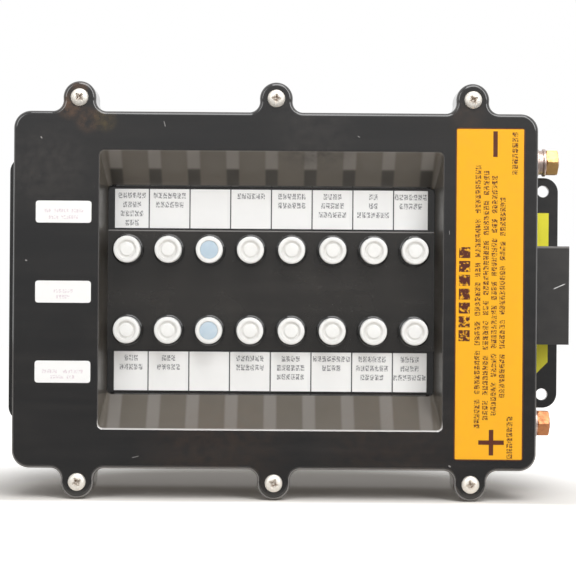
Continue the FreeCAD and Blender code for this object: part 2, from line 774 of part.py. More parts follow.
def make_stud(label, side, nut_seat):
    """Stud with a hexagonal head inside the case."""
    body = new_piece(label)
    middle = f"({side}) * stud_lift"
    head = new_sketch(body, "head_outline", "YZ_Plane", "stud_tab - stud_head_thickness")
    hexagon(head, "-stud_height", middle, "hexagon_flats")
    pad(body, "head", head, "stud_head_thickness")
    place = [("-stud_height", middle)]
    shank = circles(body, "shank_outline", "stud_tab", "stud_diameter", place, "YZ_Plane")
    pad(body, "shank", shank, f"{nut_seat} + nut_thickness + stud_spare - stud_tab")


def make_nut(label, side, nut_seat):
    """Hexagonal nut on a stud, with a corner to the front."""
    body = new_piece(label)
    middle = f"({side}) * stud_lift"
    block = new_sketch(body, "outline", "YZ_Plane", nut_seat)
    hexagon(block, "-stud_height", middle, "hexagon_flats")
    circle(block, "-stud_height", middle, "stud_diameter + 2 * thread_clearance")
    pad(body, "block", block, "nut_thickness")


def make_washers(label, stack):
    """Washers on the studs, each given as (side, seat, diameter, thickness)."""
    body = new_piece(label)
    for index, (side, seat, across, thickness) in enumerate(stack):
        sketch = new_sketch(body, f"outline_{index}", "YZ_Plane", seat)
        for diameter in (across, "stud_diameter + 2 * stud_clearance"):
            circle(sketch, "-stud_height", f"({side}) * stud_lift", diameter)
        pad(body, f"washer_{index}", sketch, thickness)


def make_header():
    """Output header: an open shroud on the right wall, with a body that passes through the window."""
    body = new_piece("output_header")
    shroud = new_sketch(body, "shroud_outline", "YZ_Plane", "header_seat")
    rectangle(shroud, "-header_middle", "header_lift", "header_depth", "header_width")
    pad(body, "shroud", shroud, "header_reach")
    core = new_sketch(body, "core_outline", "YZ_Plane", "header_seat")
    rectangle(core, "-header_middle", "header_lift", "header_body_depth", "header_body_width")
    pad(body, "core", core, "header_body_length", backwards=True)
    mouth = new_sketch(body, "mouth_outline", "YZ_Plane", "header_seat + header_reach")
    inside = [f"{size} - 2 * header_wall" for size in ("header_depth", "header_width")]
    rectangle(mouth, "-header_middle", "header_lift", *inside)
    pocket(body, "mouth", mouth, "header_reach - header_base")
    slots = new_sketch(body, "pin_slots", "YZ_Plane", "header_seat + header_base")
    for line in (0, 1):
        slot = [f"{size} + 2 * pin_clearance" for size in ("pin_thickness", "pin_width")]
        rectangle(slots, f"-{pin_height(line)}", pin_z(0), *slot)
    first = pocket(body, "pin_bores", slots, "header_base + header_body_length")
    row_of(body, "pin_columns", first, slots, "V_Axis", "pin_pitch", "pin_count")


def pin_height(line):
    """Height of the front row of pins (0) or the back row (1)."""
    return f"(header_middle + ({1 - 2 * line}) * pin_row_gap / 2)"


def pin_foot(line):
    """Where a row of pins goes down through the board."""
    return f"(body_end - pin_bend - {1 - line} * pin_step)"


def pin_z(index):
    """Middle of a pin, counted from 0 at the bottom."""
    return f"(header_lift + ({index} - (pin_count - 1) / 2) * pin_pitch)"


def make_pins():
    """Two rows of bent pins from the mouth of the header to the board."""
    body = new_piece("header_pins")
    tip = "header_seat + header_base + pin_reach"
    for line in (0, 1):
        sketch = new_sketch(body, f"outline_{line}", "XY_Plane", f"{pin_z(0)} - pin_width / 2")
        foot, level, half = pin_foot(line), pin_height(line), "pin_thickness / 2"
        corners = [
            (f"{foot} - {half}", "-blade_end"),
            (f"{foot} + {half}", "-blade_end"),
            (f"{foot} + {half}", f"-({level} - {half})"),
            (tip, f"-({level} - {half})"),
            (tip, f"-({level} + {half})"),
            (f"{foot} - {half}", f"-({level} + {half})"),
        ]
        first = pad(body, f"pin_{line}", outline(sketch, corners), "pin_width")
        row_of(body, f"row_{line}", first, sketch, "N_Axis", "pin_pitch", "pin_count")


def make_seal():
    """Flat seal between the header and the right wall."""
    body = new_piece("header_seal")
    sketch = new_sketch(body, "outline", "YZ_Plane", "side_wall")
    rectangle(sketch, "-header_middle", "header_lift", "header_depth", "header_width")
    inside = [f"{size} + 2 * header_clearance" for size in ("header_body_depth", "header_body_width")]
    rectangle(sketch, "-header_middle", "header_lift", *inside)
    pad(body, "sheet", sketch, "seal_thickness")


def make_lock():
    """Yellow strip behind the header, with one corner cut off."""
    body = new_piece("header_lock")
    sketch = new_sketch(body, "outline", "XZ_Plane", "header_back - lock_thickness")
    top, bottom = "lock_lift + lock_length / 2", "lock_lift - lock_length / 2"
    edge = "side_wall + lock_reach"
    corners = [
        ("side_wall", bottom),
        (f"{edge} - lock_cut", bottom),
        (edge, f"{bottom} + lock_cut"),
        (edge, top),
        ("side_wall", top),
    ]
    pad(body, "strip", outline(sketch, corners), "lock_thickness")


def stud_places():
    """Both studs in a sketch on the YZ plane, where the front is at minus y."""
    return [("-stud_height", f"({side}) * stud_lift") for side in (1, -1)]


def board_screw_places():
    """Four screws of the board."""
    up = "(stud_lift - board_hole_gap)"
    sides = ("board_left + board_hole_inset", "board_right - board_hole_inset")
    return [(x, f"({side}) * {up}") for x in sides for side in (1, -1)]


def ear_screw_places():
    """Six screws of the cover."""
    return [(ear_x(column), ear_z(side)) for column, side in ear_places()]


def flange_hole_places():
    """Four holes by which the case is fixed to the bulkhead, level with each other on both sides."""
    sides = ("side_wall + right_hole_reach", "-(side_wall + left_hole_reach)")
    up = "(top_wall - right_flange_inset - flange_hole_inset)"
    return [(x, f"({side}) * {up}") for x in sides for side in (1, -1)]


def make_all():
    """Makes every piece, from the case outwards."""
    make_case()
    make_cover()
    make_gasket()
    cover_screw = ("cover_screw", "cover_screw_length", "cover_screw_head", "cover_screw_head_height")
    crowned = (*cover_screw, "cover_screw_crown")
    make_screws("cover_screws", ear_screw_places(), "cover_front", *crowned)
    make_collars()
    for number, column, row in all_positions():
        if column == SPARE_COLUMN:
            make_plug("upper" if row > 0 else "lower", column, row)
        else:
            make_breaker(number, column, row)
            make_button(number, column, row)
    make_plug_discs()

    strip = ("floor_width - 2 * label_end_margin", "label_height", "floor_front", "label_thickness")
    for name, side in (("upper", 1), ("lower", -1)):
        middle = f"well_lift + ({side}) * (platform_height + label_bay) / 2"
        make_sticker(f"label_strip_{name}", "well_offset", middle, *strip)
    margins = "(polarity_inner_margin + polarity_outer_margin)"
    tall = "cover_height - 2 * polarity_end_margin"
    orange = (f"right_band - {margins}", tall, "cover_front", "sticker_thickness", "sticker_corner")
    middle = "cover_width / 2 - (right_band + polarity_outer_margin - polarity_inner_margin) / 2"
    make_sticker("polarity_label", middle, "polarity_lift", *orange)
    margins = "(rating_inner_margin + rating_outer_margin)"
    white = (f"left_band - {margins}", "rating_height", "cover_front", "sticker_thickness", "sticker_corner")
    middle = "-cover_width / 2 + (left_band + rating_outer_margin - rating_inner_margin) / 2"
    for index, name in enumerate(("upper", "middle", "lower")):
        make_sticker(f"rating_label_{name}", middle, f"rating_lift + ({1 - index}) * rating_pitch", *white)

    make_board()
    board_screw = ("board_screw", "board_screw_length", "board_screw_head", "board_screw_head_height")
    make_screws("board_screws", board_screw_places(), "board_front", *board_screw)
    make_bus()
    make_negative_strip()
    upper_nut = "(stud_seat + 2 * flat_washer + lock_washer)"
    lower_nut = "(stud_seat + flat_washer)"
    for name, side, nut_seat in (("negative", 1, upper_nut), ("positive", -1, lower_nut)):
        make_stud(f"{name}_stud", side, nut_seat)
        make_nut(f"{name}_nut", side, nut_seat)
    flat = ("washer_diameter", "flat_washer")
    above_lock = "stud_seat + flat_washer + lock_washer"
    make_washers("flat_washers", [(1, "stud_seat", *flat), (1, above_lock, *flat), (-1, "stud_seat", *flat)])
    lock = (1, "stud_seat + flat_washer", "lock_washer_diameter", "lock_washer")
    make_washers("lock_washer_upper", [lock])
    make_header()
    make_pins()
    make_seal()
    make_lock()


def check_all():
    """Stops with the names of failed objects, and checks the shape of each piece."""
    doc.recompute()
    failed = [o.Name for o in doc.Objects if "Invalid" in o.State or "Error" in o.State]
    if failed:
        raise RuntimeError(f"failed: {', '.join(failed)}")
    for piece in pieces:
        if piece.Shape.isNull() or not piece.Shape.isValid() or not piece.Shape.Solids:
            raise RuntimeError(f"bad shape: {piece.Label}")


make_all()
check_all()
os.makedirs("parts", exist_ok=True)
for piece in pieces:
    piece.Shape.exportStep(os.path.join("parts", f"{piece.Label}.step"))
print(len(pieces), "pieces written")
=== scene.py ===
"""Dresses a circuit breaker box: black moulded case, white reset buttons, labels and battery terminals."""
import math

import bpy
import numpy as np
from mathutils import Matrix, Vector


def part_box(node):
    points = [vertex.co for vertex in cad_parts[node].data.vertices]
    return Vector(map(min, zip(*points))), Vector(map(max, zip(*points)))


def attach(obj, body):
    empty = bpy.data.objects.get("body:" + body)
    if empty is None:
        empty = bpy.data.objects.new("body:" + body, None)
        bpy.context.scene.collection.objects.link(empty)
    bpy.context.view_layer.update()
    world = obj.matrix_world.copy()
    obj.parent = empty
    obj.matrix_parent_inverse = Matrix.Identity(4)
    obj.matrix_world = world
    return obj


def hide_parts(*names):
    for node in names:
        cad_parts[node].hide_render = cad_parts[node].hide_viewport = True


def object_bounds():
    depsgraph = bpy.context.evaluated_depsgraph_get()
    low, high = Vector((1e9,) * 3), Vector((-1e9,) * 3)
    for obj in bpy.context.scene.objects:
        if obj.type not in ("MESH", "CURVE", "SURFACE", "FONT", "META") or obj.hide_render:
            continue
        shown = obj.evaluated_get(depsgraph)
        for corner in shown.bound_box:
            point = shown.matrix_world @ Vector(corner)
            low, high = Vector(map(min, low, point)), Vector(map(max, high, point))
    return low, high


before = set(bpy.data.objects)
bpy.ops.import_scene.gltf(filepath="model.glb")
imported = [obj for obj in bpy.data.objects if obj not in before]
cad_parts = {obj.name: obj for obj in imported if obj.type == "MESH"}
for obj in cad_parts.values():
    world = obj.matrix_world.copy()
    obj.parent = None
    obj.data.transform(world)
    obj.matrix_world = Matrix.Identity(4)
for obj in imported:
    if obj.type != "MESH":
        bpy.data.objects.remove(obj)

bl_info = {
    "name": "Breaker Box",
    "version": (1, 0, 0),
    "blender": (4, 5, 0),
    "location": "View3D > Sidebar > Breaker Box",
    "description": "Builds the visible pieces, finishes and stage of a circuit breaker box",
    "category": "Object",
}

# A height in this file is a distance in front of the rear face, so it points along -Y.
CAD_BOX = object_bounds()
ROOT = "box"
BUTTONS = sorted(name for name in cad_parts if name.startswith("reset_button_"))
PLUGS = ("spare_plug_upper", "spare_plug_lower")
CELLS = 8


def colour(name, description, default):
    """A colour that a user can change."""
    return bpy.props.FloatVectorProperty(
        name=name, description=description, default=default, subtype="COLOR", size=3, min=0, max=1
    )


def length(name, description, default):
    """A size in metres that a user can change."""
    return bpy.props.FloatProperty(
        name=name, description=description, default=default, unit="LENGTH", subtype="DISTANCE", min=0
    )


class BoxSizes(bpy.types.PropertyGroup):
    """Sizes of the details that the frame doesn't hold."""

    cap_edge: length("Cap edge", "Rounding of the front edge of a cap", 0.0009)
    groove_outer: length("Groove outer radius", "Outer radius of the groove in a cap", 0.005)
    groove_inner: length("Groove inner radius", "Inner radius of the groove in a cap", 0.0036)
    groove_depth: length("Groove depth", "Depth of the groove in a cap", 0.0008)
    collar_edge: length("Collar edge", "Rounding of the front edge of a collar nut", 0.001)
    recess_reach: length("Recess reach", "Reach of the cross recess in a screw head", 0.0025)
    recess_width: length("Recess width", "Half the width of one slot of the cross recess", 0.00045)
    recess_depth: length("Recess depth", "Depth of the cross recess at its middle", 0.0015)
    thread_pitch: length("Thread pitch", "Pitch of the threads of the studs", 0.00125)
    thread_depth: length("Thread depth", "Depth of the threads of the studs", 0.0006)
    mouth_width: length("Mouth width", "Width of the well at the front of the cover", 0.179)
    mouth_height: length("Mouth height", "Height of the well at the front of the cover", 0.1456)
    floor_half: length("Floor height", "Half the height of the well's floor", 0.0547)
    ledge_half: length("Ledge height", "Half the height of the platform in the well", 0.0315)
    ledge_reach: length("Ledge reach", "Half the length of the light line on the platform's edge", 0.0862)
    divider: length("Divider", "Width of the lines between the cells of a label strip", 0.0006)
    rim: length("Rim", "Width of the thin dark lines along a label strip", 0.00025)
    border: length("Border", "Width of the dark border of the polarity label", 0.0006)
    mark_length: length("Mark length", "Length of the minus and plus marks", 0.0133)
    mark_width: length("Mark width", "Width of the minus and plus marks", 0.0023)
    print_margin: length("Print margin", "From the top of a label strip to its first line of print", 0.0037)
    print_pitch: length("Print pitch", "Distance between lines of print on the label strips", 0.0048)
    print_lift: length("Print lift", "How far print stands in front of its label", 0.00004)


class BoxColours(bpy.types.PropertyGroup):
    """Colours of the finishes."""

    plastic: colour("Case plastic", "Black plastic of the case and the cover", (0.006, 0.006, 0.0065))
    haze: colour("Haze", "Greyish haze on the black plastic", (0.03, 0.027, 0.025))
    # On the upper and lower walls of the well this colour is laid on thickly, partly as painted light
    film: colour("Film", "Brownish film on the walls of the well", (0.12, 0.105, 0.086))
    # Pale wear of the scratches, also used for painted highlights along edges and painted reflections in the
    # well
    wear_and_highlight: colour("Worn edge", "Plastic rubbed pale along its edges", (0.55, 0.53, 0.52))
    grime: colour("Grime", "Brown dirt round the ears", (0.16, 0.085, 0.045))
    stain: colour("Stain", "Ochre stain beside the upper left ear", (0.12, 0.085, 0.03))
    cap: colour("Cap", "White plastic of the buttons", (0.88, 0.88, 0.865))
    # Also the colour of the painted shade in the grooves of the caps
    soil: colour("Soil", "Grey soil on the white plastic", (0.42, 0.4, 0.37))
    spare: colour("Spare disc", "Pale blue of the spare positions", (0.46, 0.58, 0.68))
    paper: colour("Label", "White film of the labels", (0.92, 0.92, 0.915))
    ink: colour("Grey print", "Print on the label strips", (0.24, 0.24, 0.25))
    pink: colour("Faint print", "Print on the small labels", (0.74, 0.66, 0.7))
    line: colour("Dark print", "Lines between the cells", (0.03, 0.03, 0.035))
    orange: colour("Orange", "Field of the polarity label", (0.9, 0.44, 0.008))
    maroon: colour("Maroon", "Border and print of the polarity label", (0.09, 0.015, 0.006))
    yellow: colour("Yellow", "Strip beside the header", (0.95, 0.88, 0.04))
    nickel: colour("Nickel", "Screws", (0.94, 0.9, 0.83))
    rust: colour("Rust", "Stain in the recesses of the screws", (0.17, 0.09, 0.04))
    brass: colour("Brass", "Upper nut", (0.76, 0.48, 0.2))
    copper: colour("Copper", "Lower nut and the strips", (0.72, 0.31, 0.14))
    tin: colour("Tin", "Washers and studs", (0.74, 0.6, 0.54))
    laminate: colour("Laminate", "Circuit board", (0.03, 0.16, 0.07))
    rubber: colour("Rubber", "Seals", (0.02, 0.02, 0.02))


class Wire:
    """A value or colour in a material. Arithmetic on values adds the nodes that work it out."""

    def __init__(self, finish, socket):
        self.finish, self.socket = finish, socket

    def maths(self, operation, *others):
        return self.finish.maths(operation, self, *others)

    def __add__(self, other):
        return self.maths("ADD", other)

    __radd__ = __add__

    def __mul__(self, other):
        return self.maths("MULTIPLY", other)

    __rmul__ = __mul__

    def __sub__(self, other):
        return self.maths("SUBTRACT", other)

    def __rsub__(self, other):
        return self.finish.maths("SUBTRACT", other, self)

    def __truediv__(self, other):
        return self.maths("DIVIDE", other)

    def __rtruediv__(self, other):
        return self.finish.maths("DIVIDE", other, self)

    def __gt__(self, other):
        return self.maths("GREATER_THAN", other)

    def __lt__(self, other):
        return self.maths("LESS_THAN", other)

    def __abs__(self):
        return self.maths("ABSOLUTE")


class Finish:
    """The nodes of a material or of the surroundings."""

    def __init__(self, owner, output="ShaderNodeOutputMaterial", place="Object"):
        owner.use_nodes = True
        self.owner, self.tree = owner, owner.node_tree
        self.tree.nodes.clear()
        self.output = self.node(output)
        self.place = Wire(self, self.node("ShaderNodeTexCoord").outputs[place])

    def node(self, kind, inputs=None, **settings):
        """Adds a node: first its settings, then the values or links of its sockets."""
        node = self.tree.nodes.new(kind)
        for name, value in settings.items():
            setattr(node, name, value)
        for name, value in (inputs or {}).items():
            socket = value.socket if isinstance(value, Wire) else value
            if isinstance(socket, bpy.types.NodeSocket):
                self.tree.links.new(socket, node.inputs[name])
            else:
                node.inputs[name].default_value = value
        return node

    def maths(self, operation, *values):
        """A Math node on values and numbers."""
        node = self.node("ShaderNodeMath", dict(enumerate(values)), operation=operation)
        return Wire(self, node.outputs[0])

    def stretched(self, across, deep, up):
        """The place on the object, with each axis scaled by itself."""
        node = self.node("ShaderNodeMapping", {"Vector": self.place, "Scale": (across, deep, up)})
        return Wire(self, node.outputs[0])

    def ramp(self, value, low, high):
        """A value spread from 0 to 1 between two levels, with soft ends."""
        inputs = {0: value, 1: low, 2: high, 3: 0.0, 4: 1.0}
        return Wire(self, self.node("ShaderNodeMapRange", inputs, interpolation_type="SMOOTHSTEP").outputs[0])

    def noise(self, scale, detail, low, high, place=None):
        """Noise from 0 to 1, spread between the two levels."""
        inputs = {"Vector": place or self.place, "Scale": scale, "Detail": detail, "Roughness": 0.55}
        spots = self.node("ShaderNodeTexNoise", inputs).outputs["Fac"]
        ramp = self.node("ShaderNodeMapRange", {0: Wire(self, spots), 1: low, 2: high, 3: 0.0, 4: 1.0})
        return Wire(self, ramp.outputs[0])

    def axes(self, place=None):
        """The place on the object, or another one, as three values."""
        node = self.node("ShaderNodeSeparateXYZ", {0: place or self.place})
        return [Wire(self, output) for output in node.outputs]

    def near(self, spot, inner, outer):
        """1 within the inner distance of a spot, and 0 beyond the outer one."""
        node = self.node("ShaderNodeVectorMath", {0: self.place, 1: tuple(spot)}, operation="DISTANCE")
        return self.ramp(Wire(self, node.outputs["Value"]), outer, inner)

    def stroke(self, middle, size, angle):
        """1 on a thin line of the given length and width about a middle, at an angle from level."""
        inputs = {"Vector": self.place, "Location": tuple(middle), "Rotation": (0, angle, 0)}
        node = self.node("ShaderNodeMapping", inputs, vector_type="TEXTURE")
        along, _, across = self.axes(Wire(self, node.outputs[0]))
        half, width = size[0] / 2, size[1] / 2
        return self.ramp(abs(along), half, half * 0.6) * self.ramp(abs(across), width, width * 0.4)

    def painted(self, name):
        """The values that the points of a piece carry under a name."""
        return Wire(self, self.node("ShaderNodeAttribute", attribute_name=name).outputs["Fac"])

    def mix(self, share, first, second):
        """A colour between two others."""
        shades = [c if isinstance(c, Wire) else (*c, 1) for c in (first, second)]
        node = self.node("ShaderNodeMix", {0: share, 6: shades[0], 7: shades[1]}, data_type="RGBA")
        return Wire(self, node.outputs[2])

    def bump(self, height, distance, strength=1.0):
        """Normals of small relief."""
        inputs = {"Height": height, "Distance": distance, "Strength": strength}
        return Wire(self, self.node("ShaderNodeBump", inputs).outputs[0])

    def done(self, **inputs):
        """Ends the material with one shader, whose sockets are named with _ for a space."""
        named = {name.replace("_", " "): value for name, value in inputs.items()}
        for name, value in named.items():
            if name in ("Base Color", "Emission Color") and not isinstance(value, Wire):
                named[name] = (*value, 1)
        return self.show(self.node("ShaderNodeBsdfPrincipled", named))

    def show(self, shader):
        """Leads a shader to the output."""
        self.tree.links.new(shader.outputs[0], self.output.inputs["Surface"])
        return self.owner


def new_finish(name):
    """An empty material."""
    return Finish(bpy.data.materials.new(name))


def black_plastic(name, gloss=0.1, haze=0.5, marks=None):
    """Glossy moulded plastic with smudges, fine streaks and dust.

    Marks is a function that lays more on the colour, and also says how dull each place is.
    """
    shades = bpy.context.scene.breaker_colours
    finish = new_finish(name)
    broad = finish.noise(9, 2, 0.3, 0.7)
    streaks = finish.noise(1, 4, 0.42, 0.72, finish.stretched(12, 60, 220))
    smudges = finish.noise(46, 4, 0.46, 0.7)
    dust = finish.noise(1500, 1, 0.76, 0.8)
    veil = haze * (0.3 * broad + 0.3 * streaks + 0.3 * smudges)
    shade = finish.mix(veil, shades.plastic, shades.haze)
    shade = finish.mix(dust * 0.12, shade, shades.paper)
    dull = 0.0
    if marks:
        shade, dull = marks(finish, shade)
    rough = gloss + 0.06 * smudges + 0.06 * streaks + 0.04 * broad + 0.25 * dull
    grain = finish.noise(2600, 2, 0.3, 0.7) * 0.2 + streaks
    coat = (1.0 - 0.3 * smudges * haze) * (1.0 - 0.8 * dull)
    return finish.done(
        Base_Color=shade, Roughness=rough, IOR=1.5, Coat_Weight=coat, Coat_Roughness=0.03,
        Normal=finish.bump(grain, 0.00001, 0.2),
    )


def well_middle():
    """Middle of the well in x and z, from the buttons."""
    spots = np.array([spot_of(name)[:2] for name in (*BUTTONS, *PLUGS)])
    return (spots.min(0) + spots.max(0)) / 2


# Pitch of the painted reflections on the walls of the well, as a share of the buttons' pitch.
REFLECTION_PITCH_SHARE = 0.945
# Dirt on the cover: place, reach, colour and share.
COVER_DIRT = [
    ((-0.1075, 0.096), 0.009, "grime", 0.7), ((-0.098, 0.0885), 0.009, "grime", 0.35),
    ((-0.1025, 0.1055), 0.006, "grime", 0.6), ((-0.089, 0.0885), 0.008, "stain", 0.5),
    ((0.1, 0.091), 0.012, "grime", 0.15), ((-0.068, -0.026), 0.012, "stain", 0.4),
    ((0.02, 0.084), 0.03, "haze", 0.7), ((-0.118, 0.062), 0.03, "haze", 0.9),
    ((-0.03, -0.083), 0.05, "grime", 0.12), ((0.06, -0.08), 0.05, "grime", 0.09),
]
# Scratches and specks on the cover: place, length and width, and the angle from level.
COVER_SCRATCHES = [
    ((-0.058, 0.0865), (0.0034, 0.0005), 1.3), ((-0.1295, 0.015), (0.0014, 0.0009), 0.3),
    ((-0.1165, -0.0035), (0.0022, 0.0006), 0.2), ((0.0915, -0.0905), (0.0016, 0.0009), 0.6),
    ((-0.122, 0.079), (0.0014, 0.0008), 0.9), ((0.043, 0.0805), (0.0016, 0.0005), 0.5),
    ((-0.072, -0.0868), (0.0042, 0.0004), -0.25), ((0.0905, 0.031), (0.0024, 0.0004), 1.5),
]


def cover_marks(finish, shade):
    """Film on the walls of the well, which dulls them and is partly painted light, painted reflections on its
    upper and lower walls, painted highlights along its edges, and dirt and scratches on the cover.
    """
    sizes, shades = bpy.context.scene.breaker_sizes, bpy.context.scene.breaker_colours
    across, deep, up = finish.axes()
    height = 0.0 - deep
    front, floor = -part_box("rating_label_upper")[1].y, -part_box("label_strip_upper")[1].y
    x, z = well_middle()
    half_width, half_height = sizes.mouth_width / 2, sizes.mouth_height / 2
    aside, above = abs(across - x), abs(up - z)
    inside = (aside < half_width + 0.001) * (above < half_height + 0.001)

    # Film, thicker on the upper and lower walls: there it is partly dust and partly painted light,
    # brightening walls that lie in shade
    walls = inside * finish.ramp(height, floor + 0.001, floor + 0.0016) * (height < front - 0.0003)
    lower = finish.ramp(up, z, z - sizes.floor_half)
    patches = finish.noise(26, 3, 0.3, 0.7)
    ends = above > sizes.floor_half
    shade = finish.mix(walls * (0.35 + 0.1 * patches + 0.5 * ends + 0.05 * lower), shade, shades.film)

    # Painted reflections of the buttons in the upper and lower walls: bands between the columns, pale, but
    # dark on the inner half of the upper wall
    column = abs(((across - x) / (button_pitch() * REFLECTION_PITCH_SHARE) + 0.5).maths("FRACT") - 0.5)
    painted_reflection = walls * ends * finish.ramp(column, 0.2, 0.12)
    outer = finish.ramp(height, floor + 0.0095, floor + 0.0115).maths("MAXIMUM", up < z)
    shade = finish.mix(painted_reflection * outer * 0.17, shade, shades.wear_and_highlight)
    shade = finish.mix(painted_reflection * (1.0 - outer) * 0.6, shade, shades.plastic)

    # Painted highlights along the edges of the mouth, most at the bottom, and along the upper edge of the
    # platform
    rim = inside * finish.ramp(height, front - 0.0009, front - 0.0006) * (height < front - 0.00005)
    bottom = finish.ramp(up, z - half_height + 0.006, z - half_height + 0.002)
    shade = finish.mix(rim * (0.1 + 0.9 * bottom), shade, shades.wear_and_highlight)
    step = inside * finish.ramp(height, floor + 0.0007, floor + 0.0011) * (height < floor + 0.0014)
    ledge_highlight = finish.ramp(abs(above - sizes.ledge_half), 0.0006, 0.0003) * (aside < sizes.ledge_reach)
    shade = finish.mix(step * ledge_highlight * (up > z) * 0.4, shade, shades.wear_and_highlight)

    for spot, reach, tone, share in COVER_DIRT:
        dirt = finish.near((spot[0], -front, spot[1]), reach * 0.25, reach) * finish.noise(210, 4, 0.3, 0.66)
        shade = finish.mix(dirt * share, shade, getattr(shades, tone))
    for spot, size, angle in COVER_SCRATCHES:
        line = finish.stroke((spot[0], -front, spot[1]), size, angle) * (height > front - 0.002)
        shade = finish.mix(line * 0.5, shade, shades.wear_and_highlight)
    # Painted highlight along the outer edge of the cover, stronger towards the bottom
    outline_highlight = (1.0 - inside) * finish.ramp(height, front - 0.0014, front - 0.001) * (height < front - 0.0003)
    shade = finish.mix(outline_highlight * (0.08 + 0.22 * finish.ramp(up, -0.06, -0.09)), shade, shades.wear_and_highlight)
    return shade, walls


def moulded(name, shade, soil, gloss=0.3, soiling=0.2, painted=None):
    """Pale moulded or printed plastic with a little soil, and more where its points carry it: on the caps,
    soil and painted shade in their grooves.
    """
    finish = new_finish(name)
    spots = finish.noise(160, 4, 0.45, 0.8)
    broad = finish.noise(30, 2, 0.3, 0.8)
    share = (spots * 0.6 + broad * 0.4) * soiling
    if painted:
        # On the caps these values are soil and painted shade in the groove
        share = share + finish.painted(painted) * (0.3 + 0.2 * spots)
    tone = finish.mix(share.maths("MINIMUM", 1.0), shade, soil)
    grain = finish.noise(1800, 2, 0.3, 0.7)
    rough = gloss + 0.12 * spots
    return finish.done(Base_Color=tone, Roughness=rough, IOR=1.48, Normal=finish.bump(grain, 0.00001, 0.3))


def printed(name, ink, paper, scale=1300, full=0.44):
    """Print as a field of colour: ink broken up by fine noise, so that it is as pale as thin strokes look."""
    finish = new_finish(name)
    gaps = finish.noise(scale, 2, full, full + 0.14)
    return finish.done(Base_Color=finish.mix(gaps, ink, paper), Roughness=0.35 + 0.1 * gaps, IOR=1.48)


def metal(name, shade, soil, gloss=0.3, soiling=0.5, spots_at=(), sheen=1.0):
    """Plain metal, stained in patches and more so near the given spots."""
    finish = new_finish(name)
    patches = finish.noise(420, 4, 0.45, 0.75)
    scuffs = finish.noise(1, 3, 0.4, 0.7, finish.stretched(300, 900, 300))
    stain = patches * soiling * 0.5
    for spot, reach in spots_at:
        stain = stain + finish.near(spot, reach * 0.35, reach) * finish.noise(900, 3, 0.3, 0.6)
    tone = finish.mix(stain.maths("MINIMUM", 1.0), shade, soil)
    return finish.done(
        Base_Color=tone,
        Metallic=sheen * (1.0 - stain.maths("MINIMUM", 1.0) * 0.8),
        Roughness=gloss + 0.25 * patches + 0.1 * scuffs,
        Normal=finish.bump(scuffs + patches, 0.00002, 0.4),
    )


def rounded(corners, steps=5):
    """A line through corners (a, b, radius), each replaced by an arc.

    The arc runs about the point on the bisector at radius / sin(half the angle), from one side's touching
    point to the other's, as an even turn between the two vectors from its middle.
    """
    corners = np.array([(*c, 0.0)[:3] for c in corners], float)
    spot, radius = corners[:, :2], corners[:, 2:]
    back, ahead = unit(np.roll(spot, 1, 0) - spot), unit(np.roll(spot, -1, 0) - spot)
    half = np.arccos(np.clip((back * ahead).sum(-1, keepdims=True), -1, 1)) / 2
    reach = radius / np.maximum(np.tan(half), 1e-9)
    middle = spot + unit(back + ahead) * radius / np.maximum(np.sin(half), 1e-9)
    start, end = (spot + side * reach - middle for side in (back, ahead))
    turn = np.maximum(np.pi - 2 * half, 1e-6)[:, None]
    share = np.linspace(0, 1, steps)[None, :, None]
    swing = np.sin((1 - share) * turn) * start[:, None] + np.sin(share * turn) * end[:, None]
    line = (middle[:, None] + swing / np.sin(turn)).reshape(-1, 2)
    step = np.linalg.norm(np.diff(line, axis=0), axis=1)
    return line[np.r_[True, step > 1e-8]]


def unit(vectors):
    """Vectors of length one, or zero where there is no direction."""
    return vectors / np.maximum(np.linalg.norm(vectors, axis=-1, keepdims=True), 1e-12)


def weave(rows, columns, ring=False):
    """Quads between neighbouring rows of a grid whose columns close, and whose rows close too in a ring."""
    index = np.arange(rows * columns).reshape(rows, columns)
    after = np.roll(index, -1, 0)
    quads = np.stack([index, np.roll(index, -1, 1), np.roll(after, -1, 1), after], -1)
    return (quads if ring else quads[:-1]).reshape(-1, 4)


def ring(grid):
    """A closed surface from a grid of points whose rows and columns both close."""
    return grid.reshape(-1, 3), [weave(*grid.shape[:2], ring=True)]


def skin(grid):
    """A closed surface from a grid of closed rows, with a fan to the middle of its first and last row."""
    rows, columns = grid.shape[:2]
    points = np.concatenate([grid.reshape(-1, 3), [grid[0].mean(0)], [grid[-1].mean(0)]])
    first, last = np.arange(columns), np.arange(columns) + (rows - 1) * columns
    start = np.stack([np.roll(first, -1), first, np.full(columns, rows * columns)], -1)
    end = np.stack([last, np.roll(last, -1), np.full(columns, rows * columns + 1)], -1)
    return points, [weave(rows, columns), start, end]


def lathe(profile, x, z, count=72):
    """Turns a profile (radius r, height h) about a line to the front: (x + r cos t, -h, z + r sin t)."""
    turn = np.linspace(0, 2 * np.pi, count, endpoint=False)
    radius, height = np.asarray(profile, float).T[:, :, None]
    return np.stack(np.broadcast_arrays(x + radius * np.cos(turn), -height, z + radius * np.sin(turn)), -1)


def sideways(profile, height, z, count=72, shape=None):
    """Turns a profile (radius r, reach a) about a line to the right: (a, -height - r cos t, z + r sin t).

    Where a shape is given, r is the smaller of the profile's radius and the shape at the angle t.
    """
    turn = np.linspace(0, 2 * np.pi, count, endpoint=False)
    radius, reach = np.asarray(profile, float).T[:, :, None]
    if shape is not None:
        radius = np.minimum(radius, shape(turn))
    grid = np.broadcast_arrays(reach, -height - radius * np.cos(turn), z + radius * np.sin(turn))
    return np.stack(grid, -1)


def hexagon(flats):
    """Radius of a hexagon at an angle t, a corner being at t = 0: flats / 2 / cos(t within its sixth)."""
    sixth = math.pi / 3
    return lambda turn: flats / 2 / np.cos((turn % sixth) - sixth / 2)


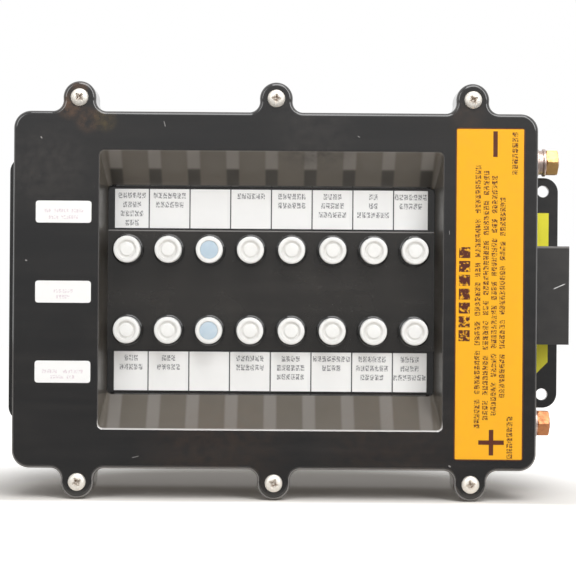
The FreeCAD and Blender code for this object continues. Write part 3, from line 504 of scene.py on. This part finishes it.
def panel(x, z, width, height, radius, levels, steps=6):
    """Rounded rectangles about (x, z), one for each (inset, height in front) of the levels."""
    rows = []
    for inset, front in levels:
        a, b, r = width / 2 - inset, height / 2 - inset, max(radius - inset, 1e-5)
        line = rounded([(-a, -b, r), (a, -b, r), (a, b, r), (-a, b, r)], steps)
        rows.append(np.c_[x + line[:, 0], np.full(len(line), -front), z + line[:, 1]])
    return np.array(rows)


def blocks(spots, back, front):
    """Thin blocks, one for each (x, z, width, height) of an array of spots, between two heights."""
    spots = np.asarray(spots, float)
    corner = np.array([(-1, -1), (1, -1), (1, 1), (-1, 1)]) / 2
    flat = spots[:, None, :2] + corner * spots[:, None, 2:]
    x, z = flat[..., 0], flat[..., 1]
    near, far = (np.stack([x, np.full(x.shape, -height), z], -1) for height in (front, back))
    points = np.concatenate([near, far], 1).reshape(-1, 3)
    faces = np.array([(0, 1, 2, 3), (7, 6, 5, 4), (0, 4, 5, 1), (1, 5, 6, 2), (2, 6, 7, 3), (3, 7, 4, 0)])
    return points, [(np.arange(len(spots))[:, None, None] * 8 + faces).reshape(-1, 4)]


def volume(points, faces):
    """Signed volume of a closed surface: the sum of a . (b x c) / 6 over its triangles."""
    total = 0.0
    for face in faces:
        for last in range(2, face.shape[1]):
            a, b, c = points[face[:, 0]], points[face[:, last - 1]], points[face[:, last]]
            total += (a * np.cross(b, c)).sum() / 6
    return total


def put(name, surfaces, material, body=ROOT, replaced=(), crease=38):
    """One object from closed surfaces, each turned so that its faces point outwards."""
    points, faces, first = [], [], 0
    for spots, parts in surfaces:
        outwards = 1 if volume(spots, parts) > 0 else -1
        faces += [row for part in parts for row in (part[:, ::outwards] + first).tolist()]
        points.append(spots)
        first += len(spots)
    mesh = bpy.data.meshes.new(name)
    mesh.from_pydata(np.concatenate(points), [], faces)
    mesh.shade_smooth()
    mesh.set_sharp_from_angle(angle=math.radians(crease))
    mesh.materials.append(material)
    piece = bpy.data.objects.new(name, mesh)
    bpy.context.collection.objects.link(piece)
    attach(piece, body)
    if replaced:
        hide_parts(*replaced)
    return piece


def paint(piece, name, values):
    """Gives each point of a piece a value that its finish reads."""
    piece.data.attributes.new(name, "FLOAT", "POINT").data.foreach_set("value", values.astype(np.float32))


def points_of(piece):
    """The points of a piece as an array."""
    spots = np.empty(len(piece.data.vertices) * 3, np.float32)
    piece.data.vertices.foreach_get("co", spots)
    return spots.reshape(-1, 3)


def dress(material, *nodes):
    """Gives CAD nodes a finish."""
    for name in nodes:
        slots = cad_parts[name].data.materials
        slots.clear()
        slots.append(material)


def spot_of(node):
    """Middle of a node in x and z, and the heights of its back and front."""
    low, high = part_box(node)
    return (low.x + high.x) / 2, (low.z + high.z) / 2, -high.y, -low.y


# Radius of a cover screw's head.
SCREW_RADIUS = 0.0046


def screw_spots():
    """Middle of each of the six cover screws, from the outer corners of their node."""
    low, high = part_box("cover_screws")
    columns = (low.x + SCREW_RADIUS, (low.x + high.x) / 2, high.x - SCREW_RADIUS)
    return [(x, z) for x in columns for z in (low.z + SCREW_RADIUS, high.z - SCREW_RADIUS)]


class BOX_OT_case(bpy.types.Operator):
    """Finishes the case, the cover and their seals"""

    bl_idname = "breaker_box.case"
    bl_label = "Case and cover"

    def execute(self, context):
        shades = context.scene.breaker_colours
        dress(black_plastic("cover_plastic", 0.06, 0.75, cover_marks), "front_cover")
        dress(black_plastic("case_plastic", 0.14, 0.6), "rear_case")
        dress(moulded("seal_rubber", shades.rubber, shades.haze, 0.6), "perimeter_gasket", "header_seal")
        return {"FINISHED"}


def cap_profile(sizes, radius, front):
    """Front of a cap as (radius, height): rounded edge, flat rim, groove and a raised middle."""
    groove, floor = front - sizes.groove_depth, sizes.groove_depth
    return [
        (radius, front, sizes.cap_edge),
        (sizes.groove_outer, front, 0.0002),
        (sizes.groove_outer - floor, groove, 0.0002),
        (sizes.groove_inner, groove, 0.0002),
        (sizes.groove_inner - floor / 2, front - floor / 4, 0.0002),
        (radius / 20, front - floor / 5),
    ]


# Length of a cap and width of its stem.
CAP_LENGTH, STEM_WIDTH = 0.0083, 0.005


class BOX_OT_buttons(bpy.types.Operator):
    """Makes the reset buttons, each a grooved round cap on its square stem"""

    bl_idname = "breaker_box.buttons"
    bl_label = "Reset buttons"

    def execute(self, context):
        sizes, shades = context.scene.breaker_sizes, context.scene.breaker_colours
        material = moulded("button_white", shades.cap, shades.soil, 0.28, 0.2, "soil")
        for name in BUTTONS:
            x, z, back, front = spot_of(name)
            low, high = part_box(name)
            radius = (high.x - low.x) / 2
            seat = front - CAP_LENGTH
            profile = [(radius / 2, seat), (radius, seat, 0.0003)] + cap_profile(sizes, radius, front)
            levels = [(0.0002, back), (0, back + 0.0004), (0, seat)]
            stem = panel(x, z, STEM_WIDTH, STEM_WIDTH, 0.0004, levels)
            cap = skin(lathe(rounded(profile), x, z))
            piece = put(f"{name}_cap", [cap, skin(stem)], material, name, [name])
            # Soil and painted shade in the groove of each cap
            paint(piece, "soil", groove_soil_and_shade(points_of(piece), x, z, front, sizes))
        return {"FINISHED"}


def groove_soil_and_shade(points, x, z, front, sizes):
    """Soil and painted shade of a cap's points, in its groove: 1.6 - |r - middle| / half width of the groove,
    from 0 to 1, near the front.
    """
    radius = np.hypot(points[:, 0] - x, points[:, 2] - z)
    outer, inner = sizes.groove_outer, sizes.groove_inner
    middle, half = (outer + inner) / 2, (outer - inner) / 2
    ring_soil_and_shade = np.clip(1.6 - abs(radius - middle) / half, 0, 1)
    return ring_soil_and_shade * (-points[:, 1] > front - 2 * sizes.groove_depth)


class BOX_OT_plugs(bpy.types.Operator):
    """Makes the two plugs of the spare positions, with their pale blue discs"""

    bl_idname = "breaker_box.plugs"
    bl_label = "Spare plugs"

    def execute(self, context):
        sizes, shades = context.scene.breaker_sizes, context.scene.breaker_colours
        material = moulded("plug_white", shades.cap, shades.soil, 0.28, 0.2)
        blue = moulded("spare_blue", shades.spare, shades.cap, 0.35, 0.35)
        discs = []
        for name in PLUGS:
            x, z, back, front = spot_of(name)
            low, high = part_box(name)
            radius, neck, recess = (high.x - low.x) / 2, 0.006, 0.0048
            floor, seat = front - sizes.groove_depth, front - CAP_LENGTH
            profile = [
                (0.003, back), (0.0065, back, 0.0004), (0.0065, back + 0.002), (neck, back + 0.002),
                (neck, seat), (radius, seat, 0.0003), (radius, front, sizes.cap_edge),
                (recess, front, 0.0002), (recess, floor), (0.001, floor),
            ]
            plug = skin(lathe(rounded(profile), x, z))
            put(f"{name}_turned", [plug], material, ROOT, [name])
            edge = recess - 0.0001
            disc = [(0.002, floor), (edge, floor), (edge, floor + 0.0004, 0.0002), (0.001, floor + 0.0006)]
            discs.append(skin(lathe(rounded(disc), x, z)))
        put("spare_discs", discs, blue, ROOT, ["spare_plug_discs"])
        return {"FINISHED"}


class BOX_OT_collars(bpy.types.Operator):
    """Makes the sixteen round collar nuts, and finishes the breakers behind them"""

    bl_idname = "breaker_box.collars"
    bl_label = "Collar nuts"

    def execute(self, context):
        sizes = context.scene.breaker_sizes
        low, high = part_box("collar_nuts")
        back, front, outer, bore = -high.y, -low.y, 0.0083, 0.00605
        material = black_plastic("collar_plastic", 0.06, 0.3)
        section = [
            (bore, back), (outer, back, 0.0002), (outer, front, sizes.collar_edge),
            (bore + 0.0008, front, 0.0004), (bore, front - 0.0008, 0.0003),
        ]
        middles = [spot_of(name)[:2] for name in (*BUTTONS, *PLUGS)]
        collars = [ring(lathe(rounded(section), x, z)) for x, z in middles]
        put("collar_rings", collars, material, ROOT, ["collar_nuts"])
        breakers = [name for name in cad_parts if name.startswith("breaker_")]
        dress(black_plastic("breaker_plastic", 0.4, 0.5), *breakers)
        return {"FINISHED"}


def screw_head(x, z, radius, seat, front, sizes, turn):
    """Pan head: the height over r and t is a dome, edge + rise (1 - (r / radius)^3)^0.5, less a cross recess.

    Each arm of the cross cuts 1 - |u| / (2 reach) of the depth where |v| is under its half width and |u|
    under its reach, with soft walls, u and v being the place turned with the arm.
    """
    rows, columns = 60, 132
    share = np.linspace(1, 0.015, rows)[:, None]
    angle = np.linspace(0, 2 * np.pi, columns, endpoint=False)[None, :]
    edge = 0.3 * (front - seat)
    dome = seat + edge + (front - seat - edge) * (1 - share**3) ** 0.5
    cut = np.zeros((rows, columns))
    for arm in (turn, turn + np.pi / 2):
        u, v = (abs(radius * share * f(angle - arm)) for f in (np.cos, np.sin))
        wall = np.clip((sizes.recess_width * 1.25 - v) / (sizes.recess_width * 0.5), 0, 1)
        end = np.clip((sizes.recess_reach - u) / (sizes.recess_width * 1.2), 0, 1)
        cut = np.maximum(cut, wall * end * (1 - u / sizes.recess_reach / 2))
    height = dome - sizes.recess_depth * cut
    top = np.stack([x + radius * share * np.cos(angle), -height, z + radius * share * np.sin(angle)], -1)
    foot = lathe([(radius * 0.97, seat), (radius, seat + edge * 0.4)], x, z, columns)
    return skin(np.concatenate([foot, top]))


class BOX_OT_screws(bpy.types.Operator):
    """Makes the six cover screws with their cross recesses, and finishes the board's screws"""

    bl_idname = "breaker_box.screws"
    bl_label = "Screws"

    def execute(self, context):
        sizes, shades = context.scene.breaker_sizes, context.scene.breaker_colours
        low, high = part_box("cover_screws")
        front, tip = -low.y, -high.y
        seat = -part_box("front_cover")[0].y
        surfaces, stains = [], []
        for index, (x, z) in enumerate(screw_spots()):
            surfaces.append(screw_head(x, z, SCREW_RADIUS, seat, front, sizes, 0.5 + 1.9 * index))
            shank = [(0.0008, tip), (0.0024, tip + 0.003), (0.0024, seat)]
            surfaces.append(skin(lathe(shank, x, z, 24)))
            stains.append((Vector((x, -front + 0.0008, z)), 0.0026))
        material = metal("screw_nickel", shades.nickel, shades.rust, 0.42, 0.25, stains, 0.75)
        put("cover_screw_heads", surfaces, material, ROOT, ["cover_screws"])
        dress(metal("board_screw_nickel", shades.nickel, shades.rust, 0.35), "board_screws")
        return {"FINISHED"}


def written(x, z, runs, size, along=(1, 0)):
    """A line of print about (x, z): a plain block for each place, and an empty place between its runs."""
    wide, tall = size
    places = np.concatenate([np.arange(run) + start for run, start in zip(runs, run_starts(runs))])
    across = (places - (sum(runs) + len(runs) - 2) / 2) * wide
    extent = (wide * 0.8, tall) if along[0] else (tall, wide * 0.8)
    return np.array([(x + a * along[0], z + a * along[1], *extent) for a in across])


def run_starts(runs):
    """Where each run starts, counted in places."""
    return [sum(runs[:i]) + i for i in range(len(runs))]


# How many blocks each line of print has, in each cell of the two strips. The third position is spare.
UPPER_PRINT = [[6, 4, 5, 3], [7, 6], [], [6], [6, 6], [4, 5, 6], [2, 2, 7], [7, 5]]
LOWER_PRINT = [[3, 5], [3, 5], [], [6, 6], [4, 6, 6], [8, 4], [6, 7, 5], [4, 4, 7]]
# Rows of print on the small labels: offset upwards, runs and the width of a place.
SMALL_PRINT = [
    ("rating_label_upper", [(0.0006, [3, 6, 5], 0.0013), (-0.0028, [4, 7], 0.0013)]),
    ("rating_label_middle", [(0.0003, [7], 0.0015), (-0.0026, [5], 0.0014)]),
    ("rating_label_lower", [(0.0002, [3, 4], 0.0027), (-0.0026, [5, 3], 0.0014)]),
]
# Rows of print on the polarity label: offset to the right and upwards, size of a place, and runs.
POLARITY_PRINT = [
    (-0.013, 0.0, (0.0072, 0.0058), [7]),
    (-0.0062, -0.0013, (0.00254, 0.0029), [6, 9, 5, 7, 3, 8, 10]),
    (-0.0019, -0.0006, (0.0026, 0.0029), [4, 8, 6, 3, 11, 7, 5]),
    (0.0024, -0.0007, (0.0025, 0.0029), [7, 5, 9, 4, 8, 3, 8]),
    (0.0067, -0.0017, (0.00255, 0.0029), [9, 6, 10, 4, 8]),
    (0.0129, 0.0733, (0.0028, 0.003), [8]),
    (0.0109, -0.0745, (0.0028, 0.003), [8]),
]


class BOX_OT_labels(bpy.types.Operator):
    """Makes the label strips, the small labels and the polarity label, with plain blocks as their print"""

    bl_idname = "breaker_box.labels"
    bl_label = "Labels"

    def execute(self, context):
        sizes, shades = context.scene.breaker_sizes, context.scene.breaker_colours
        paper = moulded("label_paper", shades.paper, (0.6, 0.58, 0.54), 0.3, 0.06)
        grey = printed("grey_ink", shades.ink, shades.paper)
        faint = printed("faint_ink", shades.pink, shades.paper)
        dark = moulded("dark_ink", shades.line, shades.ink, 0.4, 0.2)
        orange = moulded("orange_film", shades.orange, (0.85, 0.3, 0.02), 0.35, 0.2)
        maroon = moulded("maroon_ink", shades.maroon, shades.orange, 0.4, 0.04)
        broken = printed("broken_maroon", shades.maroon, shades.orange)
        bold = printed("bold_maroon", shades.maroon, shades.orange, 620, 0.52)
        for name, lines in (("label_strip_upper", UPPER_PRINT), ("label_strip_lower", LOWER_PRINT)):
            x, z, _, front = spot_of(name)
            low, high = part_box(name)
            wide, tall = high.x - low.x, high.z - low.z
            self.film(name, 0.0004, paper)
            edges = x + (np.arange(1, CELLS) - CELLS / 2) * button_pitch()
            rims = [(x, z + side * (tall - sizes.rim) / 2, wide, sizes.rim) for side in (1, -1)]
            dividers = np.array([(edge, z, sizes.divider, tall) for edge in edges] + rims)
            lift = front + sizes.print_lift
            put(f"{name}_dividers", [blocks(dividers, front, lift)], dark)
            marks, ends = [], [low.x, *edges, high.x]
            for start, end, rows in zip(ends, ends[1:], lines):
                for row, places in enumerate(rows):
                    up = high.z - sizes.print_margin - row * sizes.print_pitch
                    marks.append(written((start + end) / 2, up, [places], (0.0025, 0.003)))
            put(f"{name}_print", [blocks(np.concatenate(marks), front, lift)], grey)
        small = []
        for name, rows in SMALL_PRINT:
            x, z, _, front = spot_of(name)
            self.film(name, 0.0015, paper)
            for up, runs, pitch in rows:
                small.append(written(x, z + up, runs, (pitch, 0.0019)))
        surface = blocks(np.concatenate(small), front, front + sizes.print_lift)
        put("rating_print", [surface], faint)
        self.polarity(sizes, orange, maroon, bold, broken)
        return {"FINISHED"}

    def film(self, name, corner, material):
        """The film of a label, with a soft edge."""
        x, z, back, front = spot_of(name)
        low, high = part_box(name)
        levels = [(0.0002, back), (0, back + 0.0001), (0, front - 0.0001), (0.0001, front)]
        surface = skin(panel(x, z, high.x - low.x, high.z - low.z, corner, levels))
        put(f"{name}_film", [surface], material, ROOT, [name])

    def polarity(self, sizes, orange, maroon, bold, broken):
        """The orange label: a dark sheet with an orange field, a minus and a plus mark, and print."""
        x, z, back, front = spot_of("polarity_label")
        low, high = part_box("polarity_label")
        wide, tall = high.x - low.x, high.z - low.z
        field, lift = front - 0.00008, front - 0.00004
        levels = [(0.0002, back), (0, back + 0.0001), (0, field - 0.0001)]
        sheet = skin(panel(x, z, wide, tall, 0.0015, levels))
        put("polarity_border", [sheet], maroon, ROOT, ["polarity_label"])
        inner = (wide - 2 * sizes.border, tall - 2 * sizes.border)
        levels = [(0, field - 0.0001), (0, field)]
        put("polarity_field", [skin(panel(x, z, *inner, 0.0005, levels))], orange)
        minus, plus = (x + 0.0026, high.z - 0.0084), (x + 0.0014, low.z + 0.0094)
        long, thin = sizes.mark_length, sizes.mark_width
        marks = [(*minus, thin, long), (*plus, thin, long)]
        for side in (-1, 1):
            marks.append((plus[0] + side * (long + thin) / 4, plus[1], (long - thin) / 2, thin))
        heading, *rows = (
            written(x + across, z + up, runs, size, (0, 1)) for across, up, size, runs in POLARITY_PRINT
        )
        put("polarity_marks", [blocks(marks, field, lift)], maroon)
        put("polarity_heading", [blocks(heading, field, lift)], bold)
        put("polarity_print", [blocks(np.concatenate(rows), field, lift)], broken)


def button_pitch():
    """Distance between neighbouring columns, from the outermost breakers."""
    spots = sorted(spot_of(name)[0] for name in BUTTONS)
    return (spots[-1] - spots[0]) / (CELLS - 1)


def nut(flats, bore, start, end, height, z):
    """Hexagonal nut: r is the hexagon's radius, cut by 30 degree cones at both faces, round a plain bore."""
    corner, rise = flats / math.sqrt(3), (flats / math.sqrt(3) - flats / 2) * math.tan(math.radians(30))
    lead = bore + 0.0004
    profile = [
        (bore, start + 0.0004), (lead, start), (flats / 2 - 0.0003, start),
        (flats / 2 + 0.0001, start + 0.0001), (corner, start + rise + 0.0002), (corner, end - rise - 0.0002),
        (flats / 2 + 0.0001, end - 0.0001), (flats / 2 - 0.0003, end), (lead, end), (bore, end - 0.0004),
    ]
    dense = densify(np.array(profile), 3)
    return ring(sideways(dense, height, z, 144, hexagon(flats)))


def densify(line, count):
    """More points on each stretch of a line, evenly spaced."""
    share = np.linspace(0, 1, count, endpoint=False)[None, :, None]
    steps = line[:-1, None] * (1 - share) + line[1:, None] * share
    return np.concatenate([steps.reshape(-1, line.shape[1]), line[-1:]])


def threaded(radius, depth, pitch, start, end, height, z):
    """Threaded rod: r(a, t) = radius - depth * |2 frac(a / pitch - t / 2 pi) - 1|, with a chamfered tip."""
    rows = int((end - start) / pitch * 8)
    reach = np.linspace(start, end, rows)[:, None]
    turn = np.linspace(0, 2 * np.pi, 48, endpoint=False)[None, :]
    wave = abs(2 * ((reach / pitch - turn / (2 * np.pi)) % 1) - 1)
    tip = np.clip((reach - end + 0.001) / 0.001, 0, 1)
    r = radius - depth * wave * (1 - tip) - depth * 1.2 * tip
    grid = np.broadcast_arrays(reach, -height - r * np.cos(turn), z + r * np.sin(turn))
    return skin(np.stack(grid, -1))


# Length of a stud's head and radius of its thread.
HEAD_LENGTH, STUD_RADIUS = 0.0053, 0.004


class BOX_OT_terminals(bpy.types.Operator):
    """Makes the nuts, washers and threaded studs of the two battery terminals"""

    bl_idname = "breaker_box.terminals"
    bl_label = "Battery terminals"

    def execute(self, context):
        sizes, shades = context.scene.breaker_sizes, context.scene.breaker_colours
        brass = metal("nut_brass", shades.brass, (0.5, 0.3, 0.12), 0.36, 0.4)
        copper = metal("nut_copper", shades.copper, (0.4, 0.2, 0.12), 0.44, 0.4, (), 0.85)
        tin = metal("washer_tin", shades.tin, (0.3, 0.15, 0.08), 0.3, 0.9)
        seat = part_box("flat_washers")[0].x
        flat, washers = 0.0016, []
        for name, material in (("negative", brass), ("positive", copper)):
            low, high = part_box(f"{name}_nut")
            height, z = -(low.y + high.y) / 2, (low.z + high.z) / 2
            flats = high.z - low.z
            nut_surface = nut(flats, STUD_RADIUS + 0.00005, low.x, high.x, height, z)
            slot = "brass" if name == "negative" else "copper"
            put(f"{name}_nut_cut", [nut_surface], material, ROOT, [f"{name}_nut"], 25)
            start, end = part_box(f"{name}_stud")[0].x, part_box(f"{name}_stud")[1].x
            under = start + HEAD_LENGTH
            profile = [(0.001, start), (0.0072, start), (0.0076, start + 0.0004), (0.0076, under)]
            head = sideways(profile, height, z, 96, hexagon(flats))
            rod = threaded(STUD_RADIUS, sizes.thread_depth, sizes.thread_pitch, under, end, height, z)
            put(f"{name}_stud_thread", [skin(head), rod], tin, ROOT, [f"{name}_stud"], 25)
            stack = [seat] if name == "positive" else [seat, low.x - flat]
            for place in stack:
                section = [
                    (0.0042, place, 0.0002), (0.0075, place, 0.0004), (0.0075, place + flat, 0.0004),
                    (0.0042, place + flat, 0.0002),
                ]
                washers.append(ring(sideways(rounded(section, 4), height, z)))
        put("plain_washers", washers, tin, ROOT, ["flat_washers"])
        dress(tin, "lock_washer_upper")
        dress(copper, "feed_bus_bar", "negative_strip")
        return {"FINISHED"}


def header_marks(finish, shade):
    """A paler mottled skin on the header, a painted highlight along its upper edge, and one scratch. Nowhere
    is dull.
    """
    shades = bpy.context.scene.breaker_colours
    low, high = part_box("output_header")
    up = finish.axes()[2]
    shade = finish.mix(0.3 + finish.noise(120, 4, 0.4, 0.75) * 0.6, shade, shades.haze)
    # Painted highlight along the upper edge
    shade = finish.mix(finish.ramp(up, high.z - 0.0013, high.z - 0.0008) * 0.35, shade, shades.wear_and_highlight)
    place = (high.x - 0.0052, low.y, high.z - 0.0215)
    return finish.mix(finish.stroke(place, (0.0078, 0.0006), -0.41) * 0.8, shade, shades.paper), 0.0


class BOX_OT_header(bpy.types.Operator):
    """Finishes the output header, its pins, its yellow strip and the circuit board"""

    bl_idname = "breaker_box.header"
    bl_label = "Header and board"

    def execute(self, context):
        shades = context.scene.breaker_colours
        dress(black_plastic("header_plastic", 0.34, 1.0, header_marks), "output_header")
        dress(metal("pin_brass", shades.brass, (0.5, 0.3, 0.12), 0.3), "header_pins")
        dress(moulded("yellow_strip", shades.yellow, (0.6, 0.5, 0.1), 0.4, 0.25), "header_lock")
        dress(moulded("board_laminate", shades.laminate, (0.1, 0.2, 0.1), 0.35, 0.5), "circuit_board")
        return {"FINISHED"}


# Lamps: name, place, size and power.
LAMPS = [
    ("key", (0.25, -0.95, 1.2), 1.1, 15.6), ("fill", (1.0, -1.6, 0.7), 0.8, 8),
    ("side", (-1.0, -1.7, 0.7), 0.8, 5),
]


class BOX_OT_stage(bpy.types.Operator):
    """Makes the floor, the lamps, the surroundings and the camera"""

    bl_idname = "breaker_box.stage"
    bl_label = "Stage"

    def execute(self, context):
        self.floor()
        self.surroundings(context.scene)
        for name, place, size, power in LAMPS:
            self.lamp(name, place, size, power)
        self.camera(context.scene)
        context.scene.view_settings.view_transform = "Standard"
        return {"FINISHED"}

    def floor(self):
        """Plain floor that glows white to the eye away from the box; near the box, and to all other rays, it
        glows faintly brown, painted light that lightens its shadow there. Reflections show it only under and
        behind it.
        """
        half, level = 2.5, CAD_BOX[0].z - 0.0005
        mesh = bpy.data.meshes.new("floor")
        corners = [(-half, -half), (half, -half), (half, half), (-half, half)]
        mesh.from_pydata([(*corner, level) for corner in corners], [], [(0, 1, 2, 3)])
        floor = bpy.data.objects.new("floor", mesh)
        bpy.context.collection.objects.link(floor)
        finish = new_finish("floor_white")
        light = finish.node("ShaderNodeLightPath").outputs
        seen, mirrored = (Wire(finish, light[name]) for name in ("Is Camera Ray", "Is Glossy Ray"))
        deep = finish.axes()[1]
        away = 1.0 - finish.near((0, CAD_BOX[0].y / 2, level), 0.12, 0.24)
        away = away.maths("MAXIMUM", finish.ramp(deep, CAD_BOX[0].y + 0.005, CAD_BOX[0].y - 0.02))
        # Painted light: white for camera rays away from the box, and a faint brown glow elsewhere that lifts
        # the floor's shadow
        glow = finish.mix(seen * away, (0.03, 0.024, 0.018), (0.7, 0.7, 0.7))
        paint = finish.node("ShaderNodeBsdfPrincipled", {
            "Base Color": (0.93, 0.9, 0.86, 1), "Roughness": 0.9, "Emission Color": glow,
            "Emission Strength": 1.0,
        })
        share = mirrored * finish.ramp(deep, CAD_BOX[0].y - 0.01, CAD_BOX[0].y - 0.06)
        clear = finish.node("ShaderNodeBsdfTransparent")
        mesh.materials.append(finish.show(finish.node(
            "ShaderNodeMixShader", {0: share, 1: paint.outputs[0], 2: clear.outputs[0]},
        )))

    def surroundings(self, scene):
        """White to the eye, and otherwise a soft room, brighter overhead and in reflections from behind."""
        world = bpy.data.worlds.new("studio")
        room = Finish(world, "ShaderNodeOutputWorld", "Generated")
        _, deep, up = room.axes()
        rays, names = room.node("ShaderNodeLightPath").outputs, ("Camera", "Glossy", "Transmission")
        camera, mirrored, through = (Wire(room, rays[f"Is {name} Ray"]) for name in names)
        overhead = room.ramp(up, -0.1, 0.25)
        glossy = (0.28 + 0.46 * overhead).maths("MAXIMUM", 0.85 * room.ramp(deep, -0.6, 0.3))
        matt = (0.1 + 0.2 * overhead) * (1.0 - 0.45 * room.ramp(deep, -0.1, 0.4))
        level = glossy * mirrored + matt * (1.0 - mirrored)
        seen = camera.maths("MAXIMUM", through)
        level = level * (1.0 - seen) + seen
        room.show(room.node("ShaderNodeBackground", {"Color": (1, 1, 1, 1), "Strength": level}))
        scene.world = world

    def lamp(self, name, place, size, power):
        light = bpy.data.lights.new(name, "AREA")
        light.size, light.energy = size, power
        lamp = bpy.data.objects.new(name, light)
        lamp.location = place
        lamp.rotation_euler = (-Vector(place)).to_track_quat("-Z", "Y").to_euler()
        bpy.context.collection.objects.link(lamp)

    def camera(self, scene):
        """Square on to the cover from a metre away, a little rolled, framed as the photograph is."""
        data = bpy.data.cameras.new("camera")
        data.lens, data.shift_x, data.shift_y = 120.2, 0.0243, 0.0035
        camera = bpy.data.objects.new("camera", data)
        camera.location = (-0.0005, CAD_BOX[0].y - 0.9974, 0.0005)
        camera.rotation_euler = (math.radians(90), math.radians(-0.43), 0)
        bpy.context.collection.objects.link(camera)
        scene.camera = camera


OPERATORS = (
    BOX_OT_stage, BOX_OT_case, BOX_OT_buttons, BOX_OT_plugs, BOX_OT_collars, BOX_OT_screws, BOX_OT_labels,
    BOX_OT_terminals, BOX_OT_header,
)


class BOX_PT_panel(bpy.types.Panel):
    """Lists the pieces and the values of the breaker box"""

    bl_idname = "BOX_PT_panel"
    bl_label = "Breaker Box"
    bl_space_type = "VIEW_3D"
    bl_region_type = "UI"
    bl_category = "Breaker Box"

    def draw(self, context):
        for operator in OPERATORS:
            self.layout.operator(operator.bl_idname)
        for group in (context.scene.breaker_sizes, context.scene.breaker_colours):
            column = self.layout.column()
            for name in group.__annotations__:
                column.prop(group, name)


CLASSES = (BoxSizes, BoxColours, *OPERATORS, BOX_PT_panel)


def register():
    for cls in CLASSES:
        bpy.utils.register_class(cls)
    bpy.types.Scene.breaker_sizes = bpy.props.PointerProperty(type=BoxSizes)
    bpy.types.Scene.breaker_colours = bpy.props.PointerProperty(type=BoxColours)


def unregister():
    del bpy.types.Scene.breaker_sizes, bpy.types.Scene.breaker_colours
    for cls in reversed(CLASSES):
        bpy.utils.unregister_class(cls)


def main():
    register()
    for operator in OPERATORS:
        getattr(bpy.ops.breaker_box, operator.bl_idname.split(".")[1])()


if __name__ == "__main__":
    main()
